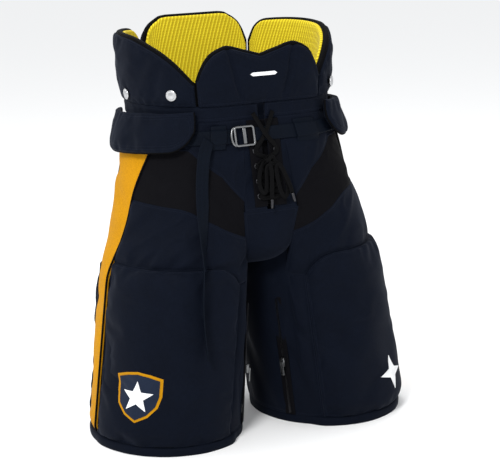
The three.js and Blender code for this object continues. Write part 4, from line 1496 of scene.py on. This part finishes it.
class PANTS_OT_flaps(bpy.types.Operator):
    """Make the padded hip flaps"""

    bl_idname = "pants.flaps"
    bl_label = "Hip Flaps"

    def execute(self, context):
        for side, word in SIDES:
            surface = half_surface(side, -64, 40, flap_bottom, flap_top)
            flap = shell(f"{word}_hip_flap_cloth", surface, 18.6, 8.4, navy_quilted(), step=5,
                         crown=9, thin=0.3, relief=soft_pad(90 + side, 2.2, 30))
            swell(flap, 3.0, 0.02, 3.5)
            hang(subdivide(flap), f"{word}_flap", "navy_cloth", f"{word}_hip_flap")
            rise = np.linspace(0.98, 0.03, 14)
            turn = np.linspace(0, 1, 60)
            u = np.concatenate((np.full(14, 0.002), 0.002 + 0.996 * turn, np.full(14, 0.998)))
            v = np.concatenate((rise, np.full(60, 0.004), rise[::-1]))
            edge = piping(f"{word}_flap_piping", surface, u, v, 13.5,
                          context.scene.pants_sizes.piping_radius / MM * 1.2, binding())
            hang(edge, f"{word}_flap", "stretch_cloth")
        return {"FINISHED"}


# ---- Legs ------------------------------------------------------------------------------------
LEG_BEND = ((0, 0, 440), (0, 0, 270))


class PANTS_OT_upper_legs(bpy.types.Operator):
    """Make the stretch panels, the upper thighs and the gold side stripes"""

    bl_idname = "pants.upper_legs"
    bl_label = "Upper Legs and Stripes"

    def execute(self, context):
        for side, word in SIDES:
            body = f"{word}_leg"

            def outer(z):
                return stripe_front(z) + TUCK

            def knit(u, v, edge, seed=100 + side):
                soft = folds(u, v, 70, 16, 60, seed) * 1.4 + creases(u, v, 50, 24, 60, seed + 1) * 1.2
                return wrinkle() * soft * np.clip(edge / 8, 0, 1)

            panel = shell(f"{word}_stretch_cloth",
                          half_surface(side, GUSSET - 0.4, outer, lambda a: stretch_edge(a) - TUCK,
                                       lambda a: yoke_edge(a) + TUCK),
                          -0.2, -4, stretch(), step=5, crown=2, relief=knit, under=knit)
            bend_with(subdivide(panel), "waist", body, *LEG_BEND, "stretch_cloth",
                      f"{word}_stretch_panel")

            def thigh_bottom(angle):
                return cover_edge(angle) - TUCK

            def drape(u, v, edge, seed=110 + side):
                gathers = folds(u, v, 0, 14, 46, seed) * near(v, 34) * 2.6
                slant = folds(u, v, -38, 30, 90, seed + 2) * 3.0
                lines = creases(u, v, -44, 26, 80, seed + 3) * 2.4
                bulge = 5.0 * near(v - 22, 22)
                fullness = np.minimum(wrinkle() * (gathers + slant + lines) + bulge, 5.5)
                return fullness * np.clip(edge / 10, 0, 1)

            thigh = shell(f"{word}_upper_thigh_cloth",
                          half_surface(side, GUSSET - 0.4, outer, thigh_bottom,
                                       stretch_edge),
                          0.4, -3.6, navy_sewn(), step=5, crown=2, relief=drape, under=drape)
            bend_with(subdivide(thigh), "waist", body, *LEG_BEND, "navy_cloth",
                      f"{word}_upper_thigh")

            surface = half_surface(side, stripe_front, STRIPE_REAR + 0.4, PANEL_BOTTOM - 1,
                                   YOKE_SIDE - 0.4)

            def ripple(u, v, edge, seed=120 + side):
                swelling = np.interp(v, (0, 10, 235, 290), (1.5, 6, 6, 0))
                return swelling + wrinkle() * folds(u, v, 80, 22, 60, seed) * 2.0 * np.clip(edge / 8, 0, 1)

            stripe = shell(f"{word}_stripe_cloth", surface, 0.6, -3.6, gold(), step=5, crown=2,
                           relief=ripple, under=ripple)
            bend_with(subdivide(stripe), "waist", body, *LEG_BEND, "gold_cloth",
                      f"{word}_side_stripe")
            v = np.linspace(0.005, 0.995, 70)
            u = np.full(70, 0.0 if side > 0 else 1.0)
            lift = np.interp(v, (0, 0.02, 0.55, 0.68), (2.5, 7, 7, 1.0))
            cord = piping(f"{word}_stripe_piping", surface, u, v, lift,
                          context.scene.pants_sizes.piping_radius / MM, binding())
            bend_with(cord, "waist", body, *LEG_BEND, "stretch_cloth")
        return {"FINISHED"}


def settle(u, v, edge):
    """The thigh pad's face comes down to the cloth over a soft round margin."""
    return -9.0 * (1 - np.sqrt(1 - (1 - np.clip(edge / 24, 0, 1)) ** 2))


def cover_relief(seed):
    def relief(u, v, edge):
        broad = cloudy(u / 85, v / 85, seed) * 4.4 + cloudy(u / 40, v / 40, seed + 1) * 2.2
        pucker = folds(u, v, 0, 10, 34, seed + 2) * near(v.max(0, keepdims=True) - v - 8, 22) * 1.8
        broad += creases(u, v, 75, 46, 90, seed + 4) * 1.3
        foot = folds(u, v, 0, 12, 30, seed + 3) * near(v - 6, 14) * 1.2
        return wrinkle() * (broad * np.clip(edge / 22, 0, 1) + (pucker + foot) * np.clip(edge / 5, 0, 1))

    return relief


class PANTS_OT_thigh_pads(bpy.types.Operator):
    """Make the padded thigh covers, the foam behind them and the guard plates' finish"""

    bl_idname = "pants.thigh_pads"
    bl_label = "Thigh Pads"

    def execute(self, context):
        for side, word in SIDES:
            body = f"{word}_leg"
            surface = half_surface(side, COVER_INNER, lambda z: stripe_front(z) - 1.0, PANEL_BOTTOM - 1,
                                   cover_edge)
            soft = cover_relief(130 + side)
            cover = shell(f"{word}_thigh_cover_cloth", surface, 10.5, 6.5, navy_sewn(), step=6,
                          crown=4, thin=0.5, under=settle,
                          relief=lambda u, v, edge, soft=soft: soft(u, v, edge) + settle(u, v, edge))
            swell(cover, 2.5, 0.03, 7)
            hang(subdivide(cover), body, "navy_cloth", f"{word}_thigh_cover")
            block = shell(f"{word}_thigh_foam_block",
                          half_surface(side, COVER_INNER + 8, -10, PANEL_BOTTOM + 8, lambda a: cover_edge(a) - 12),
                          1, -14, foam(), step=9, crown=6, thin=0.4)
            hang(subdivide(block), body, "pad_foam", f"{word}_thigh_foam")
            frame["nodes"][f"{word}_thigh_plate"].data.materials.clear()
            frame["nodes"][f"{word}_thigh_plate"].data.materials.append(plate_plastic())
        spine = frame["nodes"]["spine_plate"]
        spine.data.materials.clear()
        spine.data.materials.append(plate_plastic())
        return {"FINISHED"}


def inner_top(angle):
    """The inner thigh's top edge, which comes up to the crotch panel between its seams."""
    share = np.clip(np.abs(np.sin(np.radians(angle))) / math.sin(math.radians(-GUSSET)), 0, 1)
    sling = 302 - 48 * np.sqrt(1 - share**2)
    return np.interp(np.abs(angle - 180), (46, 50), (1.0, 0.0)) * (sling - INNER_TOP) + INNER_TOP


def inner_surface(side):
    """The inner thigh; above the fork it stands straight up instead of spreading forwards."""
    start, end = 122, 360 + COVER_INNER + 1

    def surface(u, v):
        share = u if side > 0 else 1 - u
        angle = start * (1 - share) + end * share
        z = (PANEL_BOTTOM - 1) * (1 - v) + inner_top(angle) * v
        points = cloth(side, angle, np.minimum(z, CROTCH - 12))
        points[..., 2] = z
        return points

    return surface


class PANTS_OT_leg_wraps(bpy.types.Operator):
    """Make the inner thighs, the padded rear thighs and the hems"""

    bl_idname = "pants.leg_wraps"
    bl_label = "Leg Wraps and Hems"

    def execute(self, context):
        for side, word in SIDES:
            body = f"{word}_leg"

            def slack(u, v, edge, seed=140 + side, side=side):
                from_front = u.max(1, keepdims=True) - u if side > 0 else u
                fullness = 6.0 * near(from_front - 14, 18) * near(v - 160, 80)
                soft = wrinkle() * folds(u, v, 20, 26, 80, seed) * 2.2
                roof = 0.2 + 6.0 * np.clip((np.abs(from_front - ZIP_RUN) - 11) / 12, 0, 1)
                return np.minimum(fullness + soft, roof) * np.clip(edge / 10, 0, 1)

            inner = shell(f"{word}_inner_thigh_cloth", inner_surface(side), 0.2, -3.8, navy_sewn(),
                          step=6, crown=2, relief=slack, under=slack)
            bend_with(subdivide(inner), "waist", body, *LEG_BEND, "navy_cloth",
                      f"{word}_inner_thigh")
            rear = shell(f"{word}_rear_thigh_cloth",
                         half_surface(side, STRIPE_REAR - 4, 122.8, PANEL_BOTTOM - 1, 256), 12.5, -3,
                         navy_sewn(), step=6, crown=16, thin=0.2, relief=cover_relief(150 + side))
            swell(rear, 3.0, 0.04, 9)
            hang(subdivide(rear), body, "navy_cloth", f"{word}_rear_thigh")
            self.hem(side, word, body)
        return {"FINISHED"}

    def hem(self, side, word, body):
        angle = np.arange(-180, 180, 3.0)
        rise = along(((-128, 0), (-118, 8), (-10, 8), (0, 5), (36, 5), (46, 8), (110, 8), (130, 0)),
                     angle)
        here = cloth(side, angle, HEM_HEIGHT / 2)
        around = (cloth(side, angle + 1, HEM_HEIGHT / 2) - cloth(side, angle - 1, HEM_HEIGHT / 2)) * side
        out = np.cross(around, (0, 0, 1))
        out /= np.linalg.norm(out, axis=1, keepdims=True)
        ripple = wrinkle() * cloudy(angle / 7, angle * 0, 160 + side) * 0.5
        path = here + out * (rise * 0.55 - 2.6 + ripple)[:, None]
        path[:, 2] = HEM_HEIGHT / 2
        band = tube(f"{word}_hem_cloth", path, out, HEM_HEIGHT / 2 + 1.2, 2.9 + rise * 0.45, navy(),
                    sides=16, closed=True, squareness=0.55)
        drop = np.array([vertex.co for vertex in band.data.vertices], float)
        drop[:, 2] = np.maximum(drop[:, 2], 0)
        band.data.vertices.foreach_set("co", drop.astype(np.float32).ravel())
        hang(band, body, "navy_cloth", f"{word}_hem_band")


# ---- Zips ------------------------------------------------------------------------------------
ZIP_TOP = 203.5
SLIDER_Z = 99.5


class PANTS_OT_zips(bpy.types.Operator):
    """Make the inner-leg zips: tape, teeth, slider and pull"""

    bl_idname = "pants.zips"
    bl_label = "Leg Zips"

    def execute(self, context):
        for side, word in SIDES:
            body = f"{word}_leg"
            tape = shell(f"{word}_zip_tape_cloth",
                         half_surface(side, ZIP_ANGLE - 4, ZIP_ANGLE + 4, PANEL_BOTTOM, ZIP_TOP),
                         1.4, 0.5, stretch(), step=3, rows_step=6, crown=0.8, thin=0.7)
            hang(tape, body, "zip_tape_cloth", f"{word}_zip_tape")
            teeth = []
            for row, shift in ((0, -0.9), (1, 0.9)):
                z = np.arange(PANEL_BOTTOM + 3 + row * 1.1, ZIP_TOP - 3, 2.2)
                for number, height in enumerate(z):
                    mesh = bmesh.new()
                    bmesh.ops.create_cube(mesh, size=1.0)
                    bmesh.ops.scale(mesh, vec=(2.2, 1.0, 1.0), verts=mesh.verts)
                    bmesh.ops.translate(mesh, vec=(shift, 0, 0), verts=mesh.verts)
                    tooth = object_from(f"{word}_tooth_{row}_{number}", mesh, zip_metal(), smooth=False)
                    teeth.append(seat_on(tooth, side, ZIP_ANGLE, float(height), 1.8))
            hang(join(f"{word}_zip_teeth", teeth), body, "steel")
            for node in (f"{word}_zip_slider", f"{word}_zip_pull"):
                self.cast(node)
        return {"FINISHED"}

    def cast(self, node):
        """A rounded copy of a small metal part."""
        mesh = bmesh.new()
        mesh.from_mesh(frame["nodes"][node].data)
        bmesh.ops.scale(mesh, vec=(1 / MM,) * 3, verts=mesh.verts)
        bmesh.ops.remove_doubles(mesh, verts=mesh.verts, dist=1e-3)
        bmesh.ops.dissolve_limit(mesh, angle_limit=math.radians(2), verts=mesh.verts, edges=mesh.edges)
        obj = object_from(f"{node}_metal", mesh, grey_metal())
        round_off(obj, 0.5)
        hang(obj, frame["nodes"][node]["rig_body"], "steel", node)


# ---- Badges ----------------------------------------------------------------------------------
def leg_spot(side, angle, z):
    """Where a badge's own X and Y fall on a leg, round a middle point."""
    radius = float(read_level(WIDTH, z))
    return lambda x, y: cloth(side, angle + math.degrees(x * side / radius), z + y)


def belly_spot(z):
    return lambda x, y: round_waist(np.mod(90 * x / float(read_level(STRAIGHT, z)), 720), z + y)


def drape(name, outline, spot, target, lift, thickness, finish):
    """Sews a flat shape onto a piece: each of its points is dropped onto the cloth below it."""
    graph = bpy.context.evaluated_depsgraph_get()
    tree = BVHTree.FromObject(target, graph)
    mesh = bmesh.new()
    loop = [mesh.verts.new((x, y, 0)) for x, y in outline]
    face = mesh.faces.new(loop)
    bmesh.ops.triangulate(mesh, faces=[face])
    for _ in range(3):
        bmesh.ops.subdivide_edges(mesh, edges=[edge for edge in mesh.edges if edge.calc_length() > 3.5],
                                  cuts=1, use_grid_fill=False)
        bmesh.ops.triangulate(mesh, faces=mesh.faces)
    extruded = bmesh.ops.extrude_face_region(mesh, geom=mesh.faces[:])
    raised = {item for item in extruded["geom"] if isinstance(item, bmesh.types.BMVert)}
    for vertex in mesh.verts:
        x, y = vertex.co.x, vertex.co.y
        out = np.cross(spot(x + 1, y) - spot(x - 1, y), spot(x, y + 1) - spot(x, y - 1))
        out = Vector(out).normalized()
        hit = tree.ray_cast((Vector(spot(x, y)) + out * 60) * MM, -out)
        if hit[0] is None:
            raise RuntimeError(f"{name}: no cloth lies under the badge")
        vertex.co = hit[0] / MM + out * (lift + (thickness if vertex in raised else 0))
    bmesh.ops.recalc_face_normals(mesh, faces=mesh.faces)
    return object_from(name, mesh, finish, smooth=False)


def star_outline(points, outer, inner, turn=90):
    outline = []
    for k in range(points * 2):
        radius = inner if k % 2 else outer
        at = math.radians(turn + 180 * k / points)
        outline.append((radius * math.cos(at), radius * math.sin(at)))
    return outline


def shield_outline(half_width, half_height):
    outline = [(-half_width, half_height * 0.78), (-half_width * 0.5, half_height * 0.92),
               (0, half_height), (half_width * 0.5, half_height * 0.92),
               (half_width, half_height * 0.78)]
    outline += [(half_width * x, half_height * y)
                for x, y in ((1.0, 0.1), (0.86, -0.35), (0.5, -0.74), (0, -1.0), (-0.5, -0.74),
                             (-0.86, -0.35), (-1.0, 0.1))]
    return outline[::-1]


def satin(name, colour):
    return ribbed(name, colour, 0.9, False, 0.25, roughness=0.5, sheen=0.1)


class PANTS_OT_badges(bpy.types.Operator):
    """Sew plain embroidered marks onto the two legs and the belly pad"""

    bl_idname = "pants.badges"
    bl_label = "Badges"

    def execute(self, context):
        colours = context.scene.pants_colours
        white = satin("white embroidery", colours.thread)
        gold_thread = satin("gold embroidery", colours.gold)
        navy_thread = satin("navy embroidery", (0.012, 0.018, 0.035))
        cover = bpy.data.objects["right_thigh_cover_cloth"]
        for name, outline, finish, lift in (
            ("right_badge_border", shield_outline(34, 38), gold_thread, 0.1),
            ("right_badge_field", shield_outline(30, 34), navy_thread, 0.9),
            ("right_badge_star", star_outline(5, 24, 10), white, 1.7),
        ):
            badge = drape(name, outline, leg_spot(-1, -42, 88), cover, lift, 0.9, finish)
            hang(badge, "right_leg", "navy_cloth" if finish is navy_thread else "gold_cloth")
        cover = bpy.data.objects["left_thigh_cover_cloth"]
        badge = drape("left_badge_star", star_outline(4, 27, 10), leg_spot(1, -56, 66), cover, 0.1,
                      0.9, white)
        hang(badge, "left_leg", "gold_cloth")
        bar = [(-22, 0), (-18, -2.6), (18, -2.6), (22, 0), (18, 2.6), (-18, 2.6)]
        badge = drape("belly_badge", bar, belly_spot(552), bpy.data.objects["belly_pad_cloth"], 0.1,
                      0.8, white)
        hang(badge, "belly", "gold_cloth")
        return {"FINISHED"}


class PANTS_PT_sidebar(bpy.types.Panel):
    """Lists the sizes, the colours and the steps that build the pants"""

    bl_idname = "PANTS_PT_sidebar"
    bl_label = "Hockey Pants"
    bl_space_type = "VIEW_3D"
    bl_region_type = "UI"
    bl_category = "Pants"

    def draw(self, context):
        layout = self.layout
        for group in (context.scene.pants_sizes, context.scene.pants_colours):
            for key in group.__annotations__:
                layout.prop(group, key)
        for operator in STEPS:
            layout.operator(operator.bl_idname)


STEPS = (
    PANTS_OT_stage,
    PANTS_OT_cords,
    PANTS_OT_trunk,
    PANTS_OT_belt,
    PANTS_OT_fly,
    PANTS_OT_standing_pads,
    PANTS_OT_buttons,
    PANTS_OT_flaps,
    PANTS_OT_upper_legs,
    PANTS_OT_thigh_pads,
    PANTS_OT_leg_wraps,
    PANTS_OT_zips,
    PANTS_OT_badges,
)


def register():
    for group in (PantsColours, PantsSizes, *STEPS, PANTS_PT_sidebar):
        bpy.utils.register_class(group)
    bpy.types.Scene.pants_colours = bpy.props.PointerProperty(type=PantsColours)
    bpy.types.Scene.pants_sizes = bpy.props.PointerProperty(type=PantsSizes)


def unregister():
    del bpy.types.Scene.pants_sizes
    del bpy.types.Scene.pants_colours
    for group in reversed((PantsColours, PantsSizes, *STEPS, PANTS_PT_sidebar)):
        bpy.utils.unregister_class(group)


def main():
    register()
    for operator in STEPS:
        group, name = operator.bl_idname.split(".")
        getattr(getattr(bpy.ops, group), name)()


if __name__ == "__main__":
    main()
